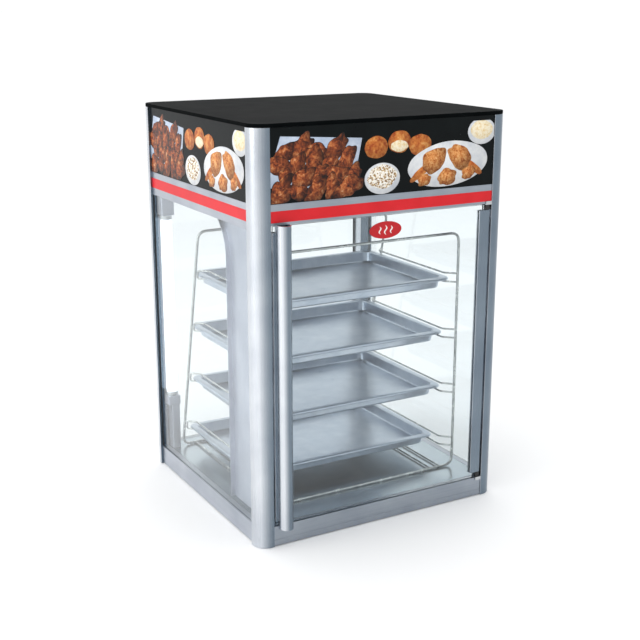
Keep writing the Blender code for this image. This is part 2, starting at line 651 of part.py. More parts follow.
def rack():
    """A wire rack: a front frame with floor rods, a leaning rear frame and runners for the pans."""
    corner = RACK_CORNER
    front = [(-RACK_HALF_WIDTH, RACK_FRONT_Y, RACK_FOOT), (RACK_HALF_WIDTH, RACK_FRONT_Y, RACK_FOOT),
             (RACK_HALF_WIDTH, RACK_FRONT_Y, RACK_TOP), (-RACK_HALF_WIDTH, RACK_FRONT_Y, RACK_TOP)]
    frame = wire("rack_front_frame", rounded(front, corner, cyclic=True), WIRE_RADIUS, WIRE_METAL,
                 cyclic=True)
    rod_end = RACK_REAR_FOOT_Y - WIRE_RADIUS - 2 * GAP
    for sign in (-1, 1):
        for i, inset in enumerate(FLOOR_ROD_INSETS):
            x = sign * (RACK_HALF_WIDTH - inset)
            rod = wire("floor_rod_%d_%d" % (sign, i), [(x, RACK_FRONT_Y, RACK_FOOT),
                       (x, rod_end, RACK_FOOT)], RUNNER_RADIUS, None, tool=True)
            frame = boolean(frame, rod, "UNION")
    rear = [(-RACK_HALF_WIDTH, RACK_REAR_FOOT_Y, RACK_FOOT), (RACK_HALF_WIDTH, RACK_REAR_FOOT_Y, RACK_FOOT),
            (RACK_HALF_WIDTH, RACK_REAR_TOP_Y, RACK_TOP), (-RACK_HALF_WIDTH, RACK_REAR_TOP_Y, RACK_TOP)]
    wire("rack_rear_frame", rounded(rear, corner, cyclic=True), WIRE_RADIUS, WIRE_METAL, cyclic=True)

    def rear_y(height):
        lean = (RACK_REAR_TOP_Y - RACK_REAR_FOOT_Y) / (RACK_TOP - RACK_FOOT)
        return RACK_REAR_FOOT_Y + lean * (height - RACK_FOOT)

    jog = RACK_HALF_WIDTH - RUNNER_HALF_WIDTH      # the runners bend out to the uprights at 45 degrees
    touch = (WIRE_RADIUS + GAP + 0.0001) / 2 ** 0.5
    clear = (WIRE_RADIUS + RUNNER_RADIUS + 0.0012) / 2 ** 0.5
    for tier in range(TIER_COUNT):
        low = tier_height(tier)
        high = low + RUNNER_PAIR
        for side, sign in (("left", -1), ("right", 1)):
            def at(out, y, z):
                return (sign * (RACK_HALF_WIDTH - out), y, z)
            path = [at(touch, RACK_FRONT_Y + touch, low), at(jog, RACK_FRONT_Y + jog, low),
                    at(jog, rear_y(low) - jog, low), at(clear, rear_y(low) - clear, low),
                    at(clear, rear_y(high) - clear, high), at(jog, rear_y(high) - jog, high),
                    at(jog, RACK_FRONT_Y + jog, high), at(touch, RACK_FRONT_Y + touch, high)]
            wire("rack_runner_%s_%d" % (side, tier + 1), rounded(path, RUNNER_BEND, steps=3),
                 RUNNER_RADIUS, WIRE_METAL)


def tier_height(tier):
    """Centre of the lower runner wires of a tier, 0 at the bottom."""
    return TIER_BASE + TIER_PITCH * tier


def sheet_pan(name, front_y, rim_underside):
    """A half-size pan: flat floor, sloped walls, rounded corners and a rolled rim."""
    top = PAN_RIM_HEIGHT
    low = top - PAN_DEPTH
    lip = PAN_SHEET
    wall_out = PAN_RIM + PAN_SHEET
    profile = [(0.0010, 0.0), (0.0, 0.0015), (0.0, top - 0.002), (0.002, top), (PAN_RIM - 0.002, top),
               (PAN_RIM + PAN_SHEET, top - 0.0015), (wall_out + PAN_TAPER, low + 0.004),
               (wall_out + PAN_TAPER + 0.003, low + PAN_SHEET), None,
               (wall_out + PAN_TAPER + 0.003, low), (PAN_RIM + PAN_TAPER, low + 0.003),
               (PAN_RIM, 0.0 + lip), (PAN_RIM - 0.001, 0.0)]
    middle_y = front_y + PAN_LENGTH / 2
    bm = bmesh.new()

    def ring(inset, height):
        half_x, half_y = PAN_WIDTH / 2 - inset, PAN_LENGTH / 2 - inset
        radius = max(PAN_CORNER - inset * 0.6, 0.006)
        points = []
        for k, (sign_x, sign_y) in enumerate(((1, 1), (-1, 1), (-1, -1), (1, -1))):
            points += arc(sign_x * (half_x - radius), sign_y * (half_y - radius), radius,
                          90 * k, 90 * k + 90, 4)
        return [bm.verts.new((x, y, height)) for x, y in points]

    loops = [ring(*step) if step else None for step in profile]
    for first, second in zip(loops, loops[1:] + loops[:1]):
        if not (first and second):
            bm.faces.new(first or second)          # the two faces of the pan's floor
            continue
        for i in range(len(first)):
            k = (i + 1) % len(first)
            bm.faces.new((first[i], first[k], second[k], second[i]))
    bmesh.ops.recalc_face_normals(bm, faces=bm.faces)
    mesh = bpy.data.meshes.new(name)
    bm.to_mesh(mesh)
    bm.free()
    return add(name, mesh, PAN_METAL, location=(0, middle_y, rim_underside))


def pans():
    for tier in range(TIER_COUNT):
        seat = tier_height(tier) + RUNNER_RADIUS + GAP
        front_y = RACK_FRONT_Y + PAN_SETTINGS[tier] * PAN_ROOM
        sheet_pan("sheet_pan_%d" % (tier + 1), front_y, seat)


# ---- inside the header ------------------------------------------------------------------------
def blower_and_heater():
    """A motor under a bridge turns a bladed wheel over the ceiling's intake, inside a heater loop."""
    bridge_top = CEILING_TOP + 0.120
    foot, sheet, half = CEILING_TOP + GAP, 0.002, 0.150
    bridge = [(-half - 0.015, foot), (-half + sheet, foot), (-half + sheet, bridge_top - sheet),
              (half - sheet, bridge_top - sheet), (half - sheet, foot), (half + 0.015, foot),
              (half + 0.015, foot + sheet), (half, foot + sheet), (half, bridge_top),
              (-half, bridge_top), (-half, foot + sheet), (-half - 0.015, foot + sheet)]
    extrusion("motor_bracket", [bridge], "Y", FAN_Y - 0.030, FAN_Y + 0.030, GALVANISED)
    motor_top = bridge_top - sheet - GAP
    motor_bottom = motor_top - MOTOR_HEIGHT
    wheel_bottom = CEILING_TOP + 0.010
    length = motor_top - wheel_bottom
    profile = [(0, length), (MOTOR_RADIUS - 0.004, length), (MOTOR_RADIUS, length - 0.004),
               (MOTOR_RADIUS, motor_bottom - wheel_bottom + 0.004),
               (MOTOR_RADIUS - 0.004, motor_bottom - wheel_bottom),
               (SHAFT_RADIUS, motor_bottom - wheel_bottom), (SHAFT_RADIUS, 0), (0, 0)]
    turned("blower_motor", profile, BLACK_PAINT, steps=24, location=(0, FAN_Y, wheel_bottom))
    hub = 0.018
    outline = []
    for blade in range(FAN_BLADES):
        centre = 2 * pi * blade / FAN_BLADES
        for radius, turn in ((hub, -0.20), (FAN_RADIUS, -0.04), (FAN_RADIUS, 0.04), (hub, 0.20)):
            outline.append((radius * cos(centre + turn), radius * sin(centre + turn)))
    bore = arc(0, 0, SHAFT_RADIUS + GAP, 0, 360 - 360 / 24, 23)
    wheel = extrusion("fan_wheel", [outline, bore], "Z", 0, FAN_HEIGHT, GALVANISED)
    wheel.location = (0, FAN_Y, wheel_bottom + FAN_HEIGHT / 2)
    reach, height = 0.105, CEILING_TOP + 0.024
    loop = [(-0.030, FAN_Y + 0.140), (-reach, FAN_Y + 0.140), (-reach, FAN_Y - reach),
            (reach, FAN_Y - reach), (reach, FAN_Y + 0.140), (0.030, FAN_Y + 0.140)]
    loop = [(x, y, height) for x, y in loop]
    wire("heater_element", rounded(loop, 0.03), HEATER_RADIUS, STAINLESS)
    box("lamp_ballast", (-0.245, -0.120, CEILING_TOP + GAP), (-0.180, 0.080, CEILING_TOP + 0.032),
        BLACK_PAINT, edge=0.002)


def controls():
    """Rockers, thermostat knob, indicator and cord gland on the header's rear sheet."""
    face, back = CONTROL_FACE, CONTROL_FACE - CONTROL_SHEET
    z = CONTROL_HEIGHT
    panel = box("control_panel", (-BETWEEN_X, back, HEADER_SIDE_BOTTOM + GAP),
                (BETWEEN_X, face, POST_TOP - GAP), STAINLESS)
    half_w, half_l = ROCKER_WIDTH / 2, ROCKER_LENGTH / 2
    for name, x in ROCKER_PLACES.items():
        window = box(name + "_window", (x - half_w - ROCKER_CLEARANCE / 2, back - 0.01,
                     z - half_l - ROCKER_CLEARANCE), (x + half_w + ROCKER_CLEARANCE / 2, face + 0.01,
                     z + half_l + ROCKER_CLEARANCE), None, tool=True)
        boolean(panel, window)
        crown = [(-0.0040, -half_l), (0.0045, -half_l), (0.0028, 0), (0.0045, half_l),
                 (-0.0040, half_l)]
        rocker = extrusion(name, [crown], "X", -half_w, half_w, BLACK_PLASTIC)
        rocker.location = (x, face, z)
        rocker.rotation_euler.rotate_axis("Z", -ROCKER_TILT)
    for name, x, radius in (("knob_hole", KNOB_X, KNOB_SHAFT + 0.0005), ("lens_hole", LENS_X,
                            LENS_RADIUS * 0.8 + GAP), ("gland_hole", GLAND_X, GLAND_RADIUS * 0.8 + GAP)):
        hole = cylinder(name, (x, face, z), radius, 0.02, None, rotation=(pi / 2, 0, 0), tool=True)
        boolean(panel, hole)

    outward = (-pi / 2, 0, 0)          # local +Z of a turned piece points out of the rear sheet
    shaft = 0.016
    cap = KNOB_LENGTH
    profile = [(0, cap), (KNOB_RADIUS * 0.80, cap), (KNOB_RADIUS * 0.86, cap - 0.0012),
               (KNOB_RADIUS * 0.94, 0.003), (KNOB_RADIUS, 0.0015), (KNOB_RADIUS, 0),
               (KNOB_SHAFT, 0), (KNOB_SHAFT, -shaft), (0, -shaft)]
    knob = turned("thermostat_knob", profile, BLACK_PLASTIC, location=(KNOB_X, face + 0.0008, z),
                  rotation=outward)
    grip = box("knob_grip", (KNOB_X - 0.003, face + 0.0008 + cap - 0.004, z - KNOB_RADIUS * 0.75),
               (KNOB_X + 0.003, face + 0.0008 + cap + 0.004, z + KNOB_RADIUS * 0.75), None, tool=True)
    boolean(knob, grip, "UNION")
    body = box("thermostat_body", (KNOB_X - 0.024, back - GAP - 0.032, z - 0.022),
               (KNOB_X + 0.024, back - GAP, z + 0.022), WHITE_PLASTIC)
    socket = cylinder("shaft_socket", (KNOB_X, back, z), KNOB_SHAFT + GAP, 2 * shaft, None,
                      rotation=(pi / 2, 0, 0), tool=True)
    boolean(body, socket)

    r = LENS_RADIUS
    lens = [(0, 0.0045), (r * 0.5, 0.0040), (r * 0.86, 0.0026), (r, 0.0004), (r, GAP),
            (r * 0.8, GAP), (r * 0.8, -0.010), (0, -0.010)]
    turned("indicator_lens", lens, AMBER_LENS, steps=24, location=(LENS_X, face, z), rotation=outward)
    r = GLAND_RADIUS
    proud = HALF_D + REAR_PROUD - face
    bore = 0.0045
    gland = [(r * 0.55, proud), (r * 0.72, proud - 0.003), (r * 0.80, 0.012), (r, 0.0115),
             (r, 0.004), (r * 1.15, 0.004), (r * 1.15, GAP), (r * 0.8, GAP), (r * 0.8, -0.010),
             (bore, -0.010), (bore, proud)]
    turned("cord_gland", gland, BLACK_PLASTIC, closed=True, steps=24, location=(GLAND_X, face, z),
           rotation=outward)


for side_name, side_x in (("left", -1), ("right", 1)):
    for end_name, end_y in (("front", -1), ("rear", 1)):
        corner_post("corner_post_%s_%s" % (end_name, side_name), side_x, end_y)
base_frame()
floor_pan()
header()
glazing()
door()
air_duct()
lamp()
rack()
pans()
blower_and_heater()
controls()
bpy.context.view_layer.update()
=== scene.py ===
"""Finish of the hot food display case: metals, glass, printed panels, pans, wire, light and camera."""
import json
from math import cos, hypot, pi, radians, sin
import bmesh
import bpy
from mathutils import Matrix, Vector
from mathutils.bvhtree import BVHTree
from mathutils.noise import noise as value_noise


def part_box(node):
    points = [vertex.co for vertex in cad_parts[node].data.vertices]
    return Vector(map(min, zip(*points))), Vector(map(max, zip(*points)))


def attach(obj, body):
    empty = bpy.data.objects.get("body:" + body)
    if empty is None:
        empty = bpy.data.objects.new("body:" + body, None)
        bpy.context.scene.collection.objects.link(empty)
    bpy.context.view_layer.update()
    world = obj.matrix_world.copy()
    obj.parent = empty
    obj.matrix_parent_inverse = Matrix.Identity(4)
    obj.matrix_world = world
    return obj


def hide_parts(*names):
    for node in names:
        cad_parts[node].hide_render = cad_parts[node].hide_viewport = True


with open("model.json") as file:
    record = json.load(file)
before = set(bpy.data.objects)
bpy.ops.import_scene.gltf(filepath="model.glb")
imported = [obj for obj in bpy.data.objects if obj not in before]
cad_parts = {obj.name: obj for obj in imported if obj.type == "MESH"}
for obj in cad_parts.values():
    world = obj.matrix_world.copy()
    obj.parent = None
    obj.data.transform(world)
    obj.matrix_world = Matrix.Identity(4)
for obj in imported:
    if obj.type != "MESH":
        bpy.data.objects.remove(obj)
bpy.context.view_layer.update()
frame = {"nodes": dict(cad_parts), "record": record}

MM = 0.001
SKIN = 0.02 * MM             # least distance between two surfaces that would otherwise touch
EASED_SHARP = 48             # degrees: edges of rounded pieces that turn more than this stay crisp


# ---- materials: helpers -----------------------------------------------------------------------
def srgb(text, alpha=1.0):
    """An sRGB hex colour as linear red, green, blue and alpha."""
    channels = [int(text[i:i + 2], 16) / 255 for i in (1, 3, 5)]
    linear = [c / 12.92 if c <= 0.04045 else ((c + 0.055) / 1.055) ** 2.4 for c in channels]
    return (*linear, alpha)


def add_node(tree, kind, inputs=None, **settings):
    """A node with its settings; inputs gives a value or a link for each socket."""
    made = tree.nodes.new(kind)
    for key, value in settings.items():
        setattr(made, key, value)
    for key, value in (inputs or {}).items():
        if isinstance(value, bpy.types.NodeSocket):
            tree.links.new(value, made.inputs[key])
        else:
            made.inputs[key].default_value = value
    return made


def start_material(name, **values):
    """A Principled material and its shader, with plain values on the shader's own sockets."""
    material = bpy.data.materials.new(name)
    material.use_nodes = True
    tree = material.node_tree
    shader = tree.nodes["Principled BSDF"]
    for key, value in values.items():
        shader.inputs[key.replace("_", " ")].default_value = value
    return material, tree, shader


def scaled_place(tree, size_mm, turn=(0, 0, 0)):
    """Object coordinates where one unit is the given size in millimetres along X, Y and Z."""
    place = add_node(tree, "ShaderNodeTexCoord").outputs["Object"]
    scale = [1 / (mm * MM) for mm in size_mm]
    mapping = add_node(tree, "ShaderNodeMapping", {"Vector": place, "Scale": scale, "Rotation": turn})
    return mapping.outputs["Vector"]


def ramp(tree, factor, stops):
    """A colour ramp from (place, hex) stops."""
    made = add_node(tree, "ShaderNodeValToRGB", {"Fac": factor})
    elements = made.color_ramp.elements
    while len(elements) < len(stops):
        elements.new(0.5)
    for element, (place, color) in zip(elements, stops):
        element.position = place
        element.color = srgb(color)
    return made.outputs["Color"]


def ranged(tree, factor, low, high):
    """A factor from 0..1 spread over low..high."""
    spread = add_node(tree, "ShaderNodeMapRange", {"Value": factor, "To Min": low, "To Max": high})
    return spread.outputs["Result"]


def mottle(tree, size_mm, detail, turn=(0, 0, 0), **more):
    """Noise from 0 to 1 whose lumps have the given size in millimetres along X, Y and Z."""
    made = add_node(tree, "ShaderNodeTexNoise", {"Vector": scaled_place(tree, size_mm, turn),
                                                 "Scale": 1.0, "Detail": detail, **more})
    return made.outputs["Fac"]


def multiplied(tree, first, second):
    """The product of two colours; 6, 7 and 2 are the Mix node's colour sockets."""
    made = add_node(tree, "ShaderNodeMix", {"Factor": 1.0, 6: first, 7: second}, data_type="RGBA",
                    blend_type="MULTIPLY")
    return made.outputs[2]


def bump(tree, shader, height, depth_mm, strength=1.0):
    """Surface relief of the given depth from a height factor."""
    made = add_node(tree, "ShaderNodeBump", {"Height": height, "Distance": depth_mm * MM,
                                             "Strength": strength})
    tree.links.new(made.outputs["Normal"], shader.inputs["Normal"])


# ---- materials: metals ------------------------------------------------------------------------
LINE_LENGTH_MM = 260.0                    # about how long one brushed line is
PAINTED_SHADE_FACING = (0.35, -0.94, 0)             # faces turned this way are darkened to the front tone: painted shade


def brushed_metal(name, color, dark, along, line_mm, roughness, spread, depth_mm=0.012, front=None):
    """Metal with straight lines along one axis; given a front tone, faces turned to the front take it as
    painted shade.
    """
    material, tree, shader = start_material(name, Metallic=1.0)
    size = [line_mm] * 3
    size["XYZ".index(along)] = LINE_LENGTH_MM
    lines = mottle(tree, size, 4.0, Roughness=0.65)
    cloud = mottle(tree, (90, 90, 90), 3.0)
    cast = ramp(tree, cloud, ((0.30, "#E6E8EC"), (0.70, "#FFFFFF")))
    tone = multiplied(tree, ramp(tree, lines, ((0.25, dark), (0.70, color))), cast)
    # painted shade: the tone is darkened on faces turned to the front
    if front:
        normal = add_node(tree, "ShaderNodeTexCoord").outputs["Normal"]
        facing = add_node(tree, "ShaderNodeVectorMath", {0: normal, 1: PAINTED_SHADE_FACING},
                          operation="DOT_PRODUCT")
        painted_front_shade = ramp(tree, facing.outputs["Value"], ((0.45, "#FFFFFF"), (0.95, front)))
        tone = multiplied(tree, tone, painted_front_shade)
    tree.links.new(tone, shader.inputs["Base Color"])
    rough = ranged(tree, lines, roughness - spread, roughness + spread)
    tree.links.new(rough, shader.inputs["Roughness"])
    bump(tree, shader, lines, depth_mm, 0.5)
    return material


# Clear-anodised aluminium extrusion: fine die lines run along the length, so highlights are drawn
# out into soft bands.  The lines are drawn 1.2 mm apart; the real ones are finer than can be seen.
# The front tone is painted shade on the uprights, stiles and pull where they face the front.
POST_METAL = brushed_metal("clear_anodised_upright_aluminium_painted_shade", "#DEE1E5", "#D2D6DB", "Z", 1.2, 0.27,
                           0.04, 0.006, front="#8F9BA4")
# The rails along X are a darker copy of the side rails' aluminium: painted shade, since they face the
# front and back.
RAIL_ALONG_X_PAINTED_SHADE = brushed_metal("clear_anodised_front_rail_aluminium_painted_shade", "#A4AAB2", "#979FA7", "X", 1.2,
                             0.34, 0.05, 0.008)
RAIL_METAL_Y = brushed_metal("clear_anodised_aluminium_side_rail", "#C8CCD3", "#BBC0C8", "Y", 1.2,
                             0.36, 0.05, 0.008)
# Brushed stainless: grit lines drawn 0.9 mm apart, glossy enough on the floor to mirror the pans,
# and a lighter, flatter sheet for the control panel at the rear.
FLOOR_METAL = brushed_metal("brushed_stainless_floor", "#C7D0D5", "#B3BEC4", "X", 0.9, 0.25, 0.06)
REAR_METAL = brushed_metal("brushed_stainless_sheet", "#C4C7C9", "#B4B8BB", "X", 0.9, 0.30, 0.06)
# Aluminium sheet with a coarse grain: pale and upright on the air duct and the lamp's fittings, and
# darker mill finish, with its grain from front to back, on the ceiling and what is fixed above it.
DUCT_METAL = brushed_metal("brushed_aluminium_sheet_upright", "#D6D9E2", "#C8CCD8", "Z", 2.0, 0.42,
                           0.05)
CEILING_METAL = brushed_metal("mill_finish_sheet_ceiling", "#B8BBC0", "#A5A9AF", "Y", 2.0, 0.45, 0.06)


def pan_metal():
    """Rolled aluminium pan: rubbed sheet with cloudy wear and short random scratches."""
    material, tree, shader = start_material("rolled_aluminium_pan", Metallic=1.0)
    cloud = mottle(tree, (38, 38, 38), 6.0, Roughness=0.6)
    wear = mottle(tree, (2.0, 60, 4.0), 5.0, (0, 0, radians(24)), Roughness=0.7)
    tone = ramp(tree, cloud, ((0.25, "#A9B5C3"), (0.55, "#BCC5D0"), (0.80, "#CDD4DC")))
    tree.links.new(tone, shader.inputs["Base Color"])
    both = add_node(tree, "ShaderNodeMath", {0: cloud, 1: wear}, operation="MULTIPLY")
    tree.links.new(ranged(tree, both.outputs[0], 0.24, 0.52), shader.inputs["Roughness"])
    bump(tree, shader, wear, 0.02, 0.4)
    return material


def plated_wire():
    """Bright nickel plate on drawn steel wire: near mirror, slightly clouded by washing."""
    material, tree, shader = start_material("nickel_plated_wire", Metallic=1.0)
    film = mottle(tree, (14, 14, 14), 5.0)
    tone = ramp(tree, film, ((0.30, "#A9ADAB"), (0.65, "#D0D2CF")))
    tree.links.new(tone, shader.inputs["Base Color"])
    tree.links.new(ranged(tree, film, 0.16, 0.34), shader.inputs["Roughness"])
    return material


PAN_METAL = pan_metal()
WIRE_METAL = plated_wire()


# ---- materials: glass, plastics, paint --------------------------------------------------------
def clear_glass():
    """Tempered float glass, 4 mm: clear with the faintest green cast; lamp light passes through it."""
    material, tree, shader = start_material("tempered_float_glass", Roughness=0.0, IOR=1.45,
                                            Transmission_Weight=1.0, Base_Color=srgb("#F6FAFB"))
    ray = add_node(tree, "ShaderNodeLightPath").outputs["Is Shadow Ray"]
    clear = add_node(tree, "ShaderNodeBsdfTransparent", {"Color": srgb("#F8FBFB")})
    mix = add_node(tree, "ShaderNodeMixShader", {0: ray, 1: shader.outputs["BSDF"],
                                                 2: clear.outputs["BSDF"]})
    tree.links.new(mix.outputs["Shader"], tree.nodes["Material Output"].inputs["Surface"])
    return material


def moulded(name, color, lift, roughness, grain_mm=0.8, depth_mm=0.03, metallic=0.0, **values):
    """Moulded plastic or powder coat: one colour clouded slightly, with a fine stipple."""
    material, tree, shader = start_material(name, Metallic=metallic, **values)
    grain = mottle(tree, (grain_mm,) * 3, 2.0)
    cloud = mottle(tree, (45, 45, 45), 4.0)
    tone = ramp(tree, cloud, ((0.30, color), (0.75, lift)))
    tree.links.new(tone, shader.inputs["Base Color"])
    rough = ranged(tree, cloud, roughness - 0.05, roughness + 0.05)
    tree.links.new(rough, shader.inputs["Roughness"])
    bump(tree, shader, grain, depth_mm, 0.6)
    return material


def lamp_glass():
    """Fluorescent tube: phosphor-coated glass, evenly lit, its powder faintly uneven."""
    material, tree, shader = start_material("phosphor_coated_tube", Roughness=0.25,
                                            Base_Color=srgb("#F4F7FA"), Emission_Strength=1.1,
                                            Emission_Color=srgb("#F2F7FF"))
    tone = ramp(tree, mottle(tree, (3, 3, 12), 3.0), ((0.30, "#EDF1F6"), (0.70, "#FBFCFD")))
    tree.links.new(tone, shader.inputs["Base Color"])
    return material


GLASS = clear_glass()
LAMP = lamp_glass()
# Satin black powder coat on the lid: orange peel about 1.4 mm across.
LID_PAINT = moulded("satin_black_powder_coat", "#050708", "#090C0D", 0.60, grain_mm=1.4, depth_mm=0.03,
                    Specular_IOR_Level=0.015)
# Black glass-filled nylon: satin, for the hinge blocks, knob, rockers and gland.
BLACK_NYLON = moulded("black_glass_filled_nylon", "#121314", "#1B1C1E", 0.50)
# Black seal rubber: matt, a little greyer than the nylon.
BLACK_RUBBER = moulded("black_epdm_gasket", "#17191B", "#202325", 0.62, depth_mm=0.02)
# Off-white plastic with a soft sheen, and a brighter, smoother white print.
WHITE_PLASTIC = moulded("white_polycarbonate", "#E6E3E2", "#F1EFEE", 0.38)
WHITE_INK = moulded("white_screen_ink", "#EEEEEA", "#F8F8F5", 0.35, depth_mm=0.005)
# Red band on the header rails: glossy film.  The door badge is a deeper, glossier red.
RED_VINYL = moulded("red_gloss_vinyl_band", "#CC0F1A", "#D81A26", 0.30, depth_mm=0.006,
                    Specular_IOR_Level=0.3)
RED_LABEL = moulded("red_gloss_label", "#B10813", "#C0121D", 0.20, depth_mm=0.005,
                    Specular_IOR_Level=0.35)
# Amber indicator lens: partly clear and very glossy.
AMBER_LENS = moulded("amber_acrylic_lens", "#D8720F", "#F08A1C", 0.12, depth_mm=0.005,
                     Transmission_Weight=0.35)
# Dark oxidised steel of the heater and motor, and bright zinc plate of screws, pins and lamp caps.
DARK_STEEL = moulded("black_oxide_steel", "#1D2022", "#2B2F31", 0.40, metallic=1.0)
SCREW_METAL = moulded("zinc_plated_steel", "#B7BBBD", "#CBCED0", 0.28, metallic=1.0, depth_mm=0.01)
# Back-printed acrylic of the header panels: deep black, gloss like polished plastic.
PANEL_BLACK = moulded("back_printed_black_acrylic", "#060A0B", "#0B1112", 0.22, grain_mm=6.0,
                      depth_mm=0.006, Specular_IOR_Level=0.10)


# ---- materials: the printed picture on the header panels --------------------------------------
PRINT_LIGHT = (-0.25, 0.40, 0.0)          # where the light falls on each shape, in half sizes


def printed(name, stops, lump_mm, speck_mm, specks, shade, relief=0.0):
    """Ink of the food picture: mottled colour with specks, darkest on the side away from the light."""
    material, tree, shader = start_material(name, Roughness=0.25, Specular_IOR_Level=0.25)
    lump = mottle(tree, (lump_mm,) * 3, 6.0, Roughness=0.68, Distortion=relief)
    speck = add_node(tree, "ShaderNodeTexVoronoi", {"Vector": scaled_place(tree, (speck_mm,) * 3),
                                                    "Scale": 1.0}, feature="F1")
    share = add_node(tree, "ShaderNodeSeparateColor", {"Color": speck.outputs["Color"]})
    spread = add_node(tree, "ShaderNodeMath", {0: share.outputs["Red"], 1: 0.5},
                      operation="SUBTRACT")
    tone = add_node(tree, "ShaderNodeMath", {0: spread.outputs[0], 1: specks,
                                             2: lump}, operation="MULTIPLY_ADD")
    ink = ramp(tree, tone.outputs[0], stops)
    place = add_node(tree, "ShaderNodeUVMap", uv_map="print").outputs["UV"]
    lit = add_node(tree, "ShaderNodeVectorMath", {0: place, 1: PRINT_LIGHT},
                   operation="DISTANCE")
    fall = add_node(tree, "ShaderNodeMapRange", {"Value": lit.outputs["Value"], "From Min": 0.25,
                    "From Max": 1.35, "To Min": 1.0, "To Max": shade})
    dim = add_node(tree, "ShaderNodeVectorMath", {0: ink, "Scale": fall.outputs["Result"]},
                   operation="SCALE")
    tree.links.new(dim.outputs["Vector"], shader.inputs["Base Color"])
    return material


# One ink for each kind of thing in the picture: greaseproof paper, glazed bowls, salad with specks,
# dark glazed wings, golden fried crust, bread crust, pale crumb, and the shadow round each wing.
INKS = {
    "paper": printed("ink_greaseproof_paper", ((0.3, "#A3B3CB"), (0.7, "#D5DEEC")), 30, 3.0, 0.0, 0.72),
    "bowl": printed("ink_glazed_bowl", ((0.3, "#C9CED6"), (0.7, "#F3F2EF")), 30, 3.0, 0.0, 0.70),
    "salad": printed("ink_salad", ((0.22, "#7C5A30"), (0.36, "#C8A46A"), (0.46, "#EFE6D6"),
                                   (0.80, "#FAF6EE")), 5.0, 2.6, 0.75, 0.85),
    "wing": printed("ink_glazed_wing", ((0.30, "#22100A"), (0.42, "#5E2915"), (0.52, "#96461F"),
                                        (0.63, "#C67742"), (0.74, "#EDC298")), 12.0, 4.0, 0.06,
                    0.10, 0.8),
    "crust": printed("ink_fried_crust", ((0.28, "#6E3010"), (0.41, "#B4622A"), (0.53, "#D88F4C"),
                                         (0.66, "#EBB274"), (0.80, "#F6D3A2")), 7.0, 2.4, 0.12, 0.36,
                     0.5),
    "loaf": printed("ink_bread_crust", ((0.35, "#9A3F14"), (0.55, "#CC7A35"), (0.72, "#E3A862")), 11,
                    3.0, 0.06, 0.55),
    "crumb": printed("ink_bread_crumb", ((0.30, "#E0BE80"), (0.50, "#F2E2BE"), (0.75, "#FBF6EA")), 6,
                     1.6, 0.15, 0.8),
    "gap": printed("ink_deep_shadow", ((0.3, "#030506"), (0.8, "#140A07")), 12, 3.0, 0.0, 0.8),
}


# ---- pieces: helpers --------------------------------------------------------------------------
BODY_OF = {node: body for body, nodes in frame["record"]["behaviour"]["bodies"].items()
           for node in nodes}


def make_piece(name, bm, materials, body, sharp=35, stands_for=()):
    """A finished piece: shaded smooth but for its sharp edges, riding on its body."""
    for face in bm.faces:
        face.smooth = True
    for edge in bm.edges:
        edge.smooth = edge.is_manifold and edge.calc_face_angle(0.0) < radians(sharp)
    mesh = bpy.data.meshes.new(name)
    bm.to_mesh(mesh)
    bm.free()
    for material in materials:
        mesh.materials.append(material)
    piece = bpy.data.objects.new(name, mesh)
    bpy.context.scene.collection.objects.link(piece)
    weighted = piece.modifiers.new("flat_faces_stay_flat", "WEIGHTED_NORMAL")
    weighted.keep_sharp = True
    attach(piece, body)
    if stands_for:
        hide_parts(*stands_for)
    return piece


def eased(node, material, edge_mm=0.4, sharp=35):
    """A CAD node with its loose triangles merged and its crisp edges rounded off."""
    bm = bmesh.new()
    bm.from_mesh(frame["nodes"][node].data)
    bmesh.ops.remove_doubles(bm, verts=bm.verts, dist=0.01 * MM)
    bmesh.ops.dissolve_limit(bm, angle_limit=radians(0.5), verts=bm.verts, edges=bm.edges)
    if edge_mm:
        crisp = [e for e in bm.edges if e.is_manifold and e.calc_face_angle(0.0) > radians(sharp)]
        bmesh.ops.bevel(bm, geom=crisp, offset=edge_mm * MM, offset_type="OFFSET", segments=2,
                        profile=0.5, affect="EDGES", clamp_overlap=True, material=-1)
    return make_piece(f"{node}_finish", bm, [material], BODY_OF[node],
                      sharp=EASED_SHARP if edge_mm else sharp, stands_for=(node,))


def add_box(bm, low, high, edge_mm=0.0):
    """A box between two corners, with its edges rounded if edge_mm is given."""
    made = bmesh.ops.create_cube(bm, size=1.0)["verts"]
    size = Vector(high) - Vector(low)
    bmesh.ops.scale(bm, vec=size, verts=made)
    bmesh.ops.translate(bm, vec=(Vector(low) + Vector(high)) / 2, verts=made)
    if edge_mm:
        edges = list({e for v in made for e in v.link_edges})
        bmesh.ops.bevel(bm, geom=edges, offset=edge_mm * MM, offset_type="OFFSET", segments=2,
                        profile=0.5, affect="EDGES", clamp_overlap=True, material=-1)


def add_turned(bm, profile, place, turn, segments=32):
    """A solid turned about Z from (radius, height) points, then turned and placed."""
    points = [bm.verts.new((radius, 0, height)) for radius, height in profile]
    edges = [bm.edges.new(pair) for pair in zip(points, points[1:])]
    before = set(bm.verts) - set(points)
    bmesh.ops.spin(bm, geom=points + edges, cent=(0, 0, 0), axis=(0, 0, 1), angle=2 * pi,
                   steps=segments, use_merge=True, dvec=(0, 0, 0))
    made = [v for v in bm.verts if v not in before]
    bmesh.ops.remove_doubles(bm, verts=made, dist=0.001 * MM)
    made = [v for v in bm.verts if v not in before]
    faces = list({f for v in made for f in v.link_faces})
    bmesh.ops.recalc_face_normals(bm, faces=faces)
    bmesh.ops.transform(bm, matrix=Matrix.Translation(place) @ turn, verts=made)


FACING = {"-Y": Matrix.Rotation(pi / 2, 4, "X"), "+Y": Matrix.Rotation(-pi / 2, 4, "X"),
          "-X": Matrix.Rotation(-pi / 2, 4, "Y"), "+X": Matrix.Rotation(pi / 2, 4, "Y")}


